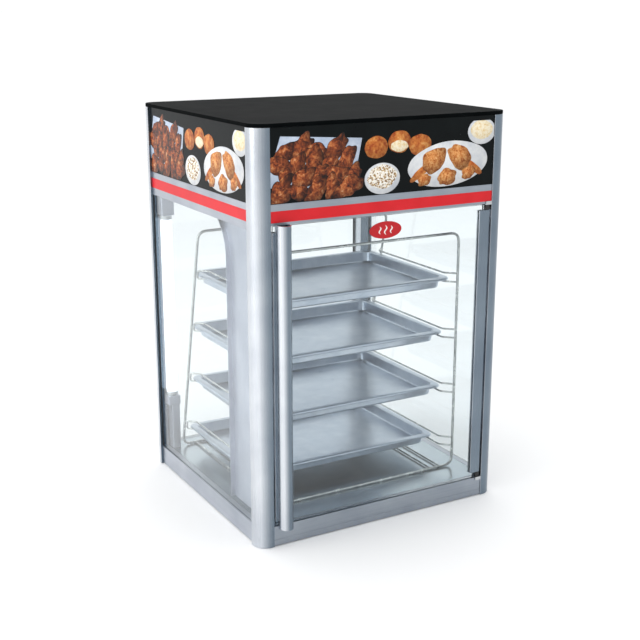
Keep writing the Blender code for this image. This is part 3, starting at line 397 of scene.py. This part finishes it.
def add_screw(bm, place, facing, radius_mm=3.2):
    """A pan-head screw with a round recess, seated at place and facing out along an axis."""
    r = radius_mm * MM
    add_turned(bm, ((0, 0), (r, 0), (r, 0.25 * r), (0.85 * r, 0.50 * r), (0.62 * r, 0.60 * r),
                    (0.36 * r, 0.62 * r), (0.33 * r, 0.20 * r), (0, 0.20 * r)), place, FACING[facing],
               segments=24)


# ---- the CAD pieces, finished -----------------------------------------------------------------
FINISHES = (
    (POST_METAL, 0.5, ("corner_post_front_left", "corner_post_front_right", "corner_post_rear_left",
                       "corner_post_rear_right", "latch_stile", "hinge_stile", "door_pull")),
    (RAIL_ALONG_X_PAINTED_SHADE, 0.5, ("base_rail_front", "base_rail_rear", "header_rail_front")),
    (RAIL_METAL_Y, 0.5, ("base_rail_left", "base_rail_right", "header_rail_left",
                         "header_rail_right")),
    (FLOOR_METAL, 0.3, ("floor_pan",)),
    (REAR_METAL, 0.2, ("control_panel",)),
    (DUCT_METAL, 0.3, ("air_duct", "lamp_wireway", "lamp_holder_top", "lamp_holder_bottom")),
    (CEILING_METAL, 0.2, ("ceiling_plate", "motor_bracket", "fan_wheel", "lamp_ballast")),
    (SCREW_METAL, 0.2, ("hinge_pivot_top", "hinge_pivot_bottom")),
    (WIRE_METAL, 0.0, ("rack_front_frame", "rack_rear_frame",
                       *[f"rack_runner_{side}_{tier}" for side in ("left", "right")
                         for tier in (1, 2, 3, 4)])),
    (DARK_STEEL, 0.2, ("heater_element", "blower_motor")),
    (LID_PAINT, 0.8, ("top_lid",)),
    (PANEL_BLACK, 0.3, ("graphic_panel_front", "graphic_panel_left", "graphic_panel_right")),
    (GLASS, 0.5, ("side_glass_left", "side_glass_right", "rear_glass", "door_glass")),
    (LAMP, 0.6, ("lamp_tube",)),
    (BLACK_NYLON, 0.4, ("hinge_block_top", "hinge_block_bottom", "cord_gland", "thermostat_knob",
                        "power_rocker", "lamp_rocker")),
    (WHITE_PLASTIC, 0.4, ("thermostat_body",)),
    (AMBER_LENS, 0.3, ("indicator_lens",)),
)
for finish, rounding, nodes in FINISHES:
    for node in nodes:
        eased(node, finish, rounding, sharp=50 if finish in (WIRE_METAL, DARK_STEEL) else 35)


# ---- sheet pans -------------------------------------------------------------------------------
PAN_BASE_INSET = 0.0205      # edge of the flat bottom, in from the outside of the rim
PAN_FILLET = 0.004           # bottom fillet and the roll over the top of the wall
PAN_WALL_LEAN = 0.0015
PAN_BEAD = 0.0034            # radius of the rolled bead under the rim
PAN_GAUGE = 0.001
PAN_CORNER = 0.014           # plan radius of the flat bottom's corners
PAN_FLAT_AREA = 0.01         # square metres: only the flat bottom is larger


def pan_profile(depth):
    """(outward, up) steps from the flat bottom's edge over the wall to the rolled bead."""
    steps = []
    for turn in (22.5, 45, 67.5, 90):                       # fillet up out of the bottom
        a, b = radians(turn - 22.5), radians(turn)
        steps.append((PAN_FILLET * (sin(b) - sin(a)), PAN_FILLET * (cos(a) - cos(b))))
    roll = 0.6 * PAN_FILLET
    steps.append((PAN_WALL_LEAN, depth - PAN_FILLET - roll))
    for turn in (30, 60, 90):                               # over the top of the wall
        a, b = radians(turn - 30), radians(turn)
        steps.append((roll * (cos(a) - cos(b)), roll * (sin(b) - sin(a))))
    flat = PAN_BASE_INSET - PAN_FILLET - PAN_WALL_LEAN - roll - PAN_BEAD
    steps.append((flat, 0.0))
    for turn in range(30, 301, 30):                         # the bead, curled round and under
        a, b = radians(turn - 30), radians(turn)
        steps.append((PAN_BEAD * (sin(b) - sin(a)), PAN_BEAD * (cos(b) - cos(a))))
    return steps


def sheet_pan(node):
    """A drawn pan with filleted walls, a flat rim and a rolled bead, one gauge thick."""
    low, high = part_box(node)
    centre = (low + high) / 2
    half = [(high[i] - low[i]) / 2 - PAN_BASE_INSET for i in (0, 1)]
    bm = bmesh.new()
    bmesh.ops.create_grid(bm, x_segments=1, y_segments=1, size=1.0)
    bmesh.ops.scale(bm, vec=(half[0], half[1], 1), verts=bm.verts)
    bmesh.ops.translate(bm, vec=(0, 0, low.z + PAN_GAUGE), verts=bm.verts)
    bmesh.ops.bevel(bm, geom=bm.verts[:], offset=PAN_CORNER, offset_type="OFFSET", segments=8,
                    profile=0.5, affect="VERTICES", clamp_overlap=True, material=-1)
    ring = bm.edges[:]
    for out, up in pan_profile(high.z - low.z - PAN_GAUGE):
        made = bmesh.ops.extrude_edge_only(bm, edges=ring)["geom"]
        verts = [v for v in made if isinstance(v, bmesh.types.BMVert)]
        ring = [e for e in made if isinstance(e, bmesh.types.BMEdge)]
        ring = [e for e in ring if len(e.link_faces) == 1]
        grown = [(half[i] + out) / half[i] for i in (0, 1)]
        bmesh.ops.scale(bm, vec=(grown[0], grown[1], 1), verts=verts)
        bmesh.ops.translate(bm, vec=(0, 0, up), verts=verts)
        half = [half[0] + out, half[1] + out]
    bmesh.ops.recalc_face_normals(bm, faces=bm.faces)
    if sum(f.normal.z * f.calc_area() for f in bm.faces if f.calc_area() > PAN_FLAT_AREA) < 0:
        bmesh.ops.reverse_faces(bm, faces=bm.faces)
    bmesh.ops.translate(bm, vec=(centre.x, centre.y, 0), verts=bm.verts)
    pan = make_piece(f"{node}_drawn", bm, [PAN_METAL], BODY_OF[node], sharp=70,
                     stands_for=(node,))
    gauge = pan.modifiers.new("gauge", "SOLIDIFY")
    gauge.thickness = PAN_GAUGE
    gauge.offset = -1.0
    gauge.use_even_offset = True
    return pan


for tier in (1, 2, 3, 4):
    sheet_pan(f"sheet_pan_{tier}")


# ---- glazing gaskets, lamp ends and screws ----------------------------------------------------
def gaskets():
    """Black seals down both upright edges of each fixed pane, between the glass and the posts."""
    width, depth = 4.0 * MM, 1.4 * MM
    bm = bmesh.new()
    for pane, out in (("side_glass_left", -1), ("side_glass_right", 1)):
        low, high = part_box(pane)
        face = low.x if out < 0 else high.x
        for y in (low.y, high.y - width):
            near, far = sorted((face + out * SKIN, face + out * depth))
            add_box(bm, (near, y, low.z + MM), (far, y + width, high.z - MM), 0.4)
    low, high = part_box("rear_glass")
    for x in (low.x, high.x - width):
        add_box(bm, (x, high.y + SKIN, low.z + MM), (x + width, high.y + depth, high.z - MM), 0.4)
    make_piece("glazing_gaskets", bm, [BLACK_RUBBER], "case", sharp=EASED_SHARP)


def lamp_ends():
    """Aluminium end caps crimped on the fluorescent tube."""
    low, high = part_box("lamp_tube")
    x, y = (low.x + high.x) / 2, (low.y + high.y) / 2
    r, cap = (high.x - low.x) / 2 + 0.25 * MM, 9 * MM
    shape = ((r - 1.2 * MM, 0), (r, 0), (r, cap - 1.0 * MM), (r - 0.4 * MM, cap),
             (r - 1.2 * MM, cap - 0.2 * MM), (r - 1.2 * MM, 0))
    bm = bmesh.new()
    add_turned(bm, shape, (x, y, low.z), Matrix.Identity(4), 48)
    add_turned(bm, shape, (x, y, high.z), Matrix.Rotation(pi, 4, "X"), 48)
    make_piece("lamp_end_caps", bm, [SCREW_METAL], "case", sharp=EASED_SHARP)


def case_screws():
    """Pan-head screws on the control panel and the air duct."""
    bm = bmesh.new()
    low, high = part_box("control_panel")
    side, end = 12 * MM, 9 * MM
    for x in (low.x + side, 0.0, high.x - side):
        for z in (low.z + end, high.z - end):
            add_screw(bm, (x, high.y + SKIN, z), "+Y")
    low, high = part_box("air_duct")
    near, far, foot, head = low.y + 9 * MM, low.y + 107 * MM, low.z + 14 * MM, high.z - 16 * MM
    for y, z in ((near, foot), (near, head), (near, (low.z + high.z) / 2), (far, foot)):
        add_screw(bm, (high.x + SKIN, y, z), "+X", 2.6)
    make_piece("case_screws", bm, [SCREW_METAL], "case", sharp=40)


gaskets()
lamp_ends()
case_screws()


# ---- red accent band over the ceiling line ----------------------------------------------------
def accent_bands():
    """Red vinyl bands stuck along the header rails on the front and both sides."""
    proud, drop, height = 0.35 * MM, 13.0 * MM, 21.5 * MM
    for rail, name in (("header_rail_front", "accent_band_front"),
                       ("header_rail_left", "accent_band_left"),
                       ("header_rail_right", "accent_band_right")):
        low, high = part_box(rail)
        top = high.z - drop
        bm = bmesh.new()
        if "front" in rail:
            add_box(bm, (low.x, low.y - proud, top - height), (high.x, low.y - SKIN, top), 0.12)
        elif "left" in rail:
            add_box(bm, (low.x - proud, low.y, top - height), (low.x - SKIN, high.y, top), 0.12)
        else:
            add_box(bm, (high.x + SKIN, low.y, top - height), (high.x + proud, high.y, top), 0.12)
        make_piece(name, bm, [RED_VINYL], "case", sharp=EASED_SHARP)


accent_bands()


# ---- header pictures --------------------------------------------------------------------------
# A generic food picture of this script's own arrangement.  Places are x and z on the front panel,
# in metres; the side panels carry the same picture.
PICTURE_TOP = 0.8150         # the print stops here, and the panel is plain black above
LAYER = 0.012 * MM           # each shape lies this much in front of the one before
FIRST_LAYER = 0.05 * MM      # how far out the print starts, before its layers are added
ON_PLANE = 1e-9              # a vertex nearer than this to the plane y = 0 lies on it
LINER = ((-0.262, 0.716), (-0.232, 0.808), (-0.058, 0.796), (-0.078, 0.700))   # greaseproof paper
WING_ROWS = ((0.778, -0.224, 4), (0.752, -0.236, 5), (0.726, -0.222, 5), (0.703, -0.232, 5))
WING_PITCH = 0.036
WING_TURNS = (28, 64, -18, 46, 82)      # degrees, taken in turn
WING_SIZES = (1.0, 1.25, 0.92, 1.16)


def layer_tools(bm, window):
    """Two functions that add a rounded patch and an uneven blob of ink inside the window."""
    print_uv = bm.loops.layers.uv.new("print")
    left, right, bottom, top = window
    count = 0
    order = list(INKS)

    def lay(verts, centre, half, ink):
        """Cuts the shape at the window, maps it for shading and gives it its thickness."""
        nonlocal count
        geom = verts + [e for v in verts for e in v.link_edges] + [f for v in verts
                                                                  for f in v.link_faces]
        for at, away in (((left, 0, 0), (-1, 0, 0)), ((right, 0, 0), (1, 0, 0)),
                         ((0, 0, bottom), (0, 0, -1)), ((0, 0, top), (0, 0, 1))):
            geom = bmesh.ops.bisect_plane(bm, geom=list(set(geom)), dist=1e-7, plane_co=at,
                                          plane_no=away, clear_outer=True)["geom"]
            geom = [g for g in geom if g.is_valid]
        faces = [g for g in geom if isinstance(g, bmesh.types.BMFace)]
        count += 1
        front = SKIN + FIRST_LAYER + count * LAYER
        made = bmesh.ops.extrude_face_region(bm, geom=faces, use_keep_orig=True)["geom"]
        capped = [g for g in made if isinstance(g, bmesh.types.BMFace)]
        bmesh.ops.translate(bm, vec=(0, -front, 0),
                            verts=[g for g in made if isinstance(g, bmesh.types.BMVert)])
        bmesh.ops.translate(bm, vec=(0, -SKIN, 0), verts=list({v for f in faces for v in f.verts}))
        shape = set(faces) | set(capped) | {f for c in capped for e in c.edges for f in e.link_faces}
        for face in shape:
            face.material_index = order.index(ink)
            for loop in face.loops:
                at = loop.vert.co
                loop[print_uv].uv = ((at.x - centre[0]) / half[0], (at.z - centre[1]) / half[1])

    def patch(points, ink, rounding_mm=1.5):
        """A straight-sided shape with rounded corners."""
        verts = [bm.verts.new((x, 0, z)) for x, z in points]
        bm.faces.new(verts)
        bmesh.ops.bevel(bm, geom=verts, offset=rounding_mm * MM, offset_type="OFFSET", segments=4,
                        profile=0.5, affect="VERTICES", clamp_overlap=True, material=-1)
        verts = [v for v in bm.verts if abs(v.co.y) < ON_PLANE]
        xs, zs = [x for x, _ in points], [z for _, z in points]
        lay(verts, ((min(xs) + max(xs)) / 2, (min(zs) + max(zs)) / 2),
            ((max(xs) - min(xs)) / 2, (max(zs) - min(zs)) / 2), ink)

    def blob(x, z, half_long, half_wide, turn, ink, uneven=0.10, taper=0.0):
        """An oval turned by some degrees, with a wavering outline."""
        made = bmesh.ops.create_circle(bm, cap_ends=True, radius=1.0, segments=56,
                                       matrix=Matrix.Rotation(pi / 2, 4, "X"))["verts"]
        spin = radians(turn)
        for v in made:
            along, across = v.co.x, v.co.z
            wobble = 1 + uneven * value_noise(Vector((along * 1.7 + x * 90, across * 1.7, z * 90)))
            along, across = along * wobble * half_long, across * wobble * half_wide * (1 + taper * along)
            v.co = (x + along * cos(spin) - across * sin(spin), 0,
                    z + along * sin(spin) + across * cos(spin))
        reach = (hypot(half_long * cos(spin), half_wide * sin(spin)),
                 hypot(half_long * sin(spin), half_wide * cos(spin)))
        lay(made, (x, z), reach, ink)

    return patch, blob


def food_picture(name, width, place):
    """The food picture as thin layers of ink; place takes it from the front panel's plane."""
    low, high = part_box("graphic_panel_front")
    inset = 0.6 * MM
    bm = bmesh.new()
    patch, blob = layer_tools(bm, (low.x + inset, high.x - inset, low.z + inset, PICTURE_TOP))
    patch(LINER, "paper")
    for row, (z, first_x, count) in enumerate(WING_ROWS):              # glazed wings
        for i in range(count):
            x, turn = first_x + i * WING_PITCH, WING_TURNS[(i + 2 * row) % len(WING_TURNS)]
            size = WING_SIZES[(i + 3 * row) % len(WING_SIZES)]
            blob(x, z, 0.0280 * size, 0.0150 * size, turn, "gap", 0.40, 0.25)
            blob(x, z, 0.0272 * size, 0.0144 * size, turn, "wing", 0.40, 0.25)
    for x, z in ((-0.026, 0.776), (0.026, 0.784), (0.074, 0.775)):     # bread rolls
        blob(x, z, 0.026, 0.021, 6, "loaf", 0.08)
    blob(0.026, 0.776, 0.020, 0.011, 0, "crumb", 0.12)                 # one roll cut open
    blob(-0.012, 0.716, 0.040, 0.030, 0, "bowl", 0.0)                  # bowl of salad
    blob(-0.012, 0.719, 0.033, 0.023, 0, "salad", 0.12)
    blob(0.142, 0.734, 0.096, 0.044, 4, "bowl", 0.02)                  # oval platter
    for x, z, turn in ((0.102, 0.738, 34), (0.176, 0.742, 146)):       # two drumsticks
        lean = radians(turn)
        blob(x - 0.030 * cos(lean), z - 0.030 * sin(lean), 0.030, 0.008, turn, "loaf", 0.10)
        blob(x + 0.008 * cos(lean), z + 0.008 * sin(lean), 0.031, 0.023, turn, "crust", 0.16, -0.2)
    for x, z, size in ((0.140, 0.708, 0.022), (0.192, 0.713, 0.018), (0.086, 0.706, 0.016)):
        blob(x, z, size, 0.72 * size, 20, "crust", 0.24)               # breaded pieces
    blob(0.222, 0.794, 0.034, 0.026, 0, "bowl", 0.0)                   # dish of dip
    blob(0.222, 0.797, 0.027, 0.019, 0, "crumb", 0.05)
    matrix = place @ Matrix.Diagonal((width, 1, 1, 1))
    bmesh.ops.transform(bm, matrix=matrix, verts=bm.verts)
    bmesh.ops.recalc_face_normals(bm, faces=bm.faces)
    make_piece(name, bm, list(INKS.values()), "case", sharp=30)


SIDE_WIDTH = 0.94            # the picture is narrowed to this on the side panels
FRONT_PANEL, LEFT_PANEL, RIGHT_PANEL = [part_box(f"graphic_panel_{side}")
                                        for side in ("front", "left", "right")]
for name, face, width, turn in (
        ("food_picture_front", (0, FRONT_PANEL[0].y, 0), 1.0, 0),
        ("food_picture_left", (LEFT_PANEL[0].x, 0, 0), SIDE_WIDTH, -pi / 2),
        ("food_picture_right", (RIGHT_PANEL[1].x, 0, 0), SIDE_WIDTH, pi / 2)):
    food_picture(name, width, Matrix.Translation(face) @ Matrix.Rotation(turn, 4, "Z"))


# ---- door badge -------------------------------------------------------------------------------
def add_oval(bm, half_x, half_z, segments=96):
    """A flat oval facing -Y, centred on the origin."""
    made = bmesh.ops.create_circle(bm, cap_ends=True, radius=1.0, segments=segments,
                                   matrix=Matrix.Rotation(pi / 2, 4, "X"))["verts"]
    bmesh.ops.scale(bm, vec=(half_x, 1, half_z), verts=made)
    return made[0].link_faces[0]


def raise_print(bm, low_y, high_y, x, z):
    """Gives flat shapes on the origin's plane a thickness from high_y out to low_y."""
    solid = bmesh.ops.extrude_face_region(bm, geom=bm.faces[:], use_keep_orig=True)["geom"]
    bmesh.ops.translate(bm, vec=(0, low_y - high_y, 0),
                        verts=[g for g in solid if isinstance(g, bmesh.types.BMVert)])
    bmesh.ops.recalc_face_normals(bm, faces=bm.faces)
    bmesh.ops.translate(bm, vec=(x, high_y, z), verts=bm.verts)


def door_badge():
    """An oval red badge on the door glass with a white ring and three wisps of steam."""
    low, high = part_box("door_badge")
    x, z = (low.x + high.x) / 2, (low.z + high.z) / 2
    half_x, half_z = (high.x - low.x) / 2, (high.z - low.z) / 2
    bm = bmesh.new()
    add_oval(bm, half_x, half_z)
    raise_print(bm, low.y + 0.12 * MM, high.y, x, z)
    rim = [e for e in bm.edges if e.is_manifold and e.calc_face_angle(0.0) > 1.0]
    bmesh.ops.bevel(bm, geom=rim, offset=0.2 * MM, offset_type="OFFSET", segments=2, profile=0.5,
                    affect="EDGES", clamp_overlap=True, material=-1)
    make_piece("door_badge_plate", bm, [RED_LABEL], "door", sharp=EASED_SHARP,
               stands_for=("door_badge",))
    bm = bmesh.new()
    oval = add_oval(bm, half_x - 1.6 * MM, half_z - 1.6 * MM)
    bmesh.ops.inset_region(bm, faces=[oval], thickness=1.0 * MM, use_even_offset=True)
    bmesh.ops.delete(bm, geom=[oval], context="FACES_ONLY")
    for offset, size in ((-13 * MM, 0.8), (0, 1.0), (13 * MM, 0.8)):
        strip = bmesh.ops.create_grid(bm, x_segments=1, y_segments=16, size=1.0,
                                      matrix=Matrix.Rotation(pi / 2, 4, "X"))["verts"]
        for v in strip:
            up = v.co.z * 9 * MM * size
            wide = (1.7 - 1.0 * abs(v.co.z)) * MM
            v.co = (v.co.x * wide + offset + 2.6 * MM * size * sin(v.co.z * 3.4), 0, up)
    raise_print(bm, low.y, low.y + 0.12 * MM - SKIN, x, z)
    make_piece("door_badge_print", bm, [WHITE_INK], "door", sharp=30)


door_badge()


# ---- operator controls ------------------------------------------------------------------------
def add_text(bm, words, height, place, facing_turn):
    """Generic characters as a thin raised print, centred on place."""
    curve = bpy.data.curves.new("print", "FONT")
    curve.body, curve.size, curve.extrude = words, height, 0.05 * MM
    curve.align_x, curve.align_y = "CENTER", "CENTER"
    holder = bpy.data.objects.new("print", curve)
    bpy.context.scene.collection.objects.link(holder)
    mesh = bpy.data.meshes.new_from_object(holder)
    mesh.transform(Matrix.Translation(place) @ facing_turn)
    bm.from_mesh(mesh)
    bpy.data.objects.remove(holder)
    bpy.data.meshes.remove(mesh)


DIAL_START, DIAL_SWEEP = 225, 270         # degrees: where 0 stands, and the knob's whole turn
TICK_STEP, NUMBER_STEP = 10, 30           # degrees between ticks, and between numbers
PRINT_OUT = 0.08 * MM                     # the print's middle, out from the control panel


def dial_print():
    """Tick marks and numbers round the thermostat knob on the control panel."""
    low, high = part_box("thermostat_knob")
    x, z = (low.x + high.x) / 2, (low.z + high.z) / 2
    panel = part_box("control_panel")[1].y
    turned_out = Matrix.Rotation(pi, 4, "Z") @ Matrix.Rotation(pi / 2, 4, "X")
    radius = (high.x - low.x) / 2
    bm = bmesh.new()
    for turn in range(0, DIAL_SWEEP + 1, TICK_STEP):
        angle = radians(DIAL_START - turn)
        long_tick = turn % NUMBER_STEP == 0
        inner, outer = radius + 2.5 * MM, radius + (6.0 if long_tick else 4.5) * MM
        ticks = bmesh.ops.create_cube(bm, size=1.0)["verts"]
        bmesh.ops.scale(bm, vec=(outer - inner, 0.1 * MM, 0.5 * MM), verts=ticks)
        bmesh.ops.translate(bm, vec=((inner + outer) / 2, 0, 0), verts=ticks)
        spin = Matrix.Rotation(angle, 4, "Y")
        bmesh.ops.transform(bm, verts=ticks, matrix=Matrix.Translation((x, panel + PRINT_OUT, z))
                            @ Matrix.Rotation(pi, 4, "Z") @ spin.inverted())
    reach = radius + 9.0 * MM
    for number in range(DIAL_SWEEP // NUMBER_STEP + 1):
        angle = radians(DIAL_START - NUMBER_STEP * number)
        add_text(bm, str(number), 4.6 * MM, (x - reach * cos(angle), panel + PRINT_OUT,
                                            z + reach * sin(angle)), turned_out)
    make_piece("dial_print", bm, [BLACK_NYLON], "case", sharp=30)


def knob_pointer():
    """A white line moulded across the thermostat knob's face."""
    low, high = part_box("thermostat_knob")
    x, z = (low.x + high.x) / 2, (low.z + high.z) / 2
    bm = bmesh.new()
    add_box(bm, (x - 0.8 * MM, high.y - 1.2 * MM, z + 2 * MM),
            (x + 0.8 * MM, high.y + SKIN, high.z - 2.0 * MM), 0.2)
    make_piece("knob_pointer", bm, [WHITE_INK], "thermostat", sharp=EASED_SHARP)


def rocker_legend(node, body):
    """A white bar and a white ring, for on and off, printed on a rocker's face."""
    low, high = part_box(node)
    x, z, half_z = (low.x + high.x) / 2, (low.z + high.z) / 2, (high.z - low.z) / 2
    bm = bmesh.new()
    bm.from_mesh(frame["nodes"][node].data)
    surface = BVHTree.FromBMesh(bm)
    bm.free()
    thin = 0.04 * MM                      # half the print's thickness
    marks = bmesh.new()
    for part, height in (("bar", z + 0.50 * half_z), ("ring", z - 0.50 * half_z)):
        hit, normal = surface.ray_cast(Vector((x, high.y + 1, height)), Vector((0, -1, 0)))[:2]
        before = set(marks.verts)
        if part == "bar":
            add_box(marks, (-0.4 * MM, -thin, -2.0 * MM), (0.4 * MM, thin, 2.0 * MM))
        else:
            inner, outer = 1.3 * MM, 1.9 * MM
            add_turned(marks, ((inner, -thin), (outer, -thin), (outer, thin), (inner, thin),
                               (inner, -thin)), (0, 0, 0), FACING["+Y"], segments=32)
        made = [v for v in marks.verts if v not in before]
        lean = Vector((0, 1, 0)).rotation_difference(normal).to_matrix().to_4x4()
        bmesh.ops.transform(marks, verts=made, matrix=Matrix.Translation(
            Vector((x, hit.y, height)) + normal * (thin + SKIN)) @ lean)
    make_piece(f"{node}_legend", marks, [WHITE_INK], body, sharp=30)


dial_print()
knob_pointer()
rocker_legend("power_rocker", "power_switch")
rocker_legend("lamp_rocker", "lamp_switch")


# ---- stage: floor, light and camera -----------------------------------------------------------
FLOOR_HALF = 180.0           # metres from the middle of the floor to its edge
FLOOR_DROP = 0.0005          # the floor lies this far below the case


def plain_floor():
    """Pale matt floor, far larger than the case."""
    material, tree, shader = start_material("pale_studio_floor", Roughness=0.7,
                                            Base_Color=srgb("#FAFAFA"))
    bm = bmesh.new()
    bmesh.ops.create_grid(bm, x_segments=1, y_segments=1, size=FLOOR_HALF)
    bmesh.ops.translate(bm, vec=(0, 0, -FLOOR_DROP), verts=bm.verts)
    mesh = bpy.data.meshes.new("studio_floor")
    bm.to_mesh(mesh)
    bm.free()
    mesh.materials.append(material)
    ground = bpy.data.objects.new("studio_floor", mesh)
    bpy.context.scene.collection.objects.link(ground)


def softbox(name, place, target, size, power, color="#FFFFFF"):
    """A rectangular soft light pointed at target."""
    data = bpy.data.lights.new(name, "AREA")
    data.shape, data.size, data.size_y = "RECTANGLE", size[0], size[1]
    data.energy, data.color = power, srgb(color)[:3]
    lamp = bpy.data.objects.new(name, data)
    lamp.location = place
    lamp.rotation_euler = (Vector(target) - Vector(place)).to_track_quat("-Z", "Y").to_euler()
    bpy.context.scene.collection.objects.link(lamp)


FRONT_OF_STUDIO = (0.25, -0.97, 0.0)      # the dimmer end of the studio, in front of the case


def studio_light():
    """Pale surroundings with a dimmer front end, a front fill, a left softbox and a top light."""
    middle = (0, 0, 0.4)
    world = bpy.data.worlds.new("studio")
    bpy.context.scene.world = world
    world.use_nodes = True
    tree = world.node_tree
    look = add_node(tree, "ShaderNodeTexCoord").outputs["Generated"]
    facing = add_node(tree, "ShaderNodeVectorMath", {0: look, 1: FRONT_OF_STUDIO},
                      operation="DOT_PRODUCT")
    shade = ramp(tree, facing.outputs["Value"], ((0.10, "#FFFFFF"), (0.80, "#DDE1E5")))
    background = tree.nodes["Background"]
    tree.links.new(shade, background.inputs["Color"])
    background.inputs["Strength"].default_value = 1.12
    softbox("front_fill", (-2.4, -2.2, 2.6), middle, (1.6, 1.0), 12)
    softbox("left_softbox", (-3.2, -0.2, 1.5), middle, (1.8, 2.2), 26)
    softbox("top_light", (0.2, 0.3, 3.2), middle, (2.2, 2.2), 16)


CAMERA_PLACE = (-1.1865, -2.0970, 1.0382)
CAMERA_YAW, CAMERA_PITCH = radians(29.593), radians(15.565)     # right of +Y, and down
CAMERA_LENS, CAMERA_SENSOR = 63.83, 36.0                        # millimetres


def catalogue_camera():
    """Camera ahead and to the left of the case, looking down on it."""
    data = bpy.data.cameras.new("camera")
    data.lens, data.sensor_width, data.clip_end = CAMERA_LENS, CAMERA_SENSOR, 600.0
    camera = bpy.data.objects.new("camera", data)
    camera.location = CAMERA_PLACE
    direction = Vector((sin(CAMERA_YAW) * cos(CAMERA_PITCH), cos(CAMERA_YAW) * cos(CAMERA_PITCH),
                        -sin(CAMERA_PITCH)))
    camera.rotation_euler = direction.to_track_quat("-Z", "Y").to_euler()
    bpy.context.scene.collection.objects.link(camera)
    bpy.context.scene.camera = camera


plain_floor()
studio_light()
catalogue_camera()
bpy.context.scene.view_settings.view_transform = "Standard"
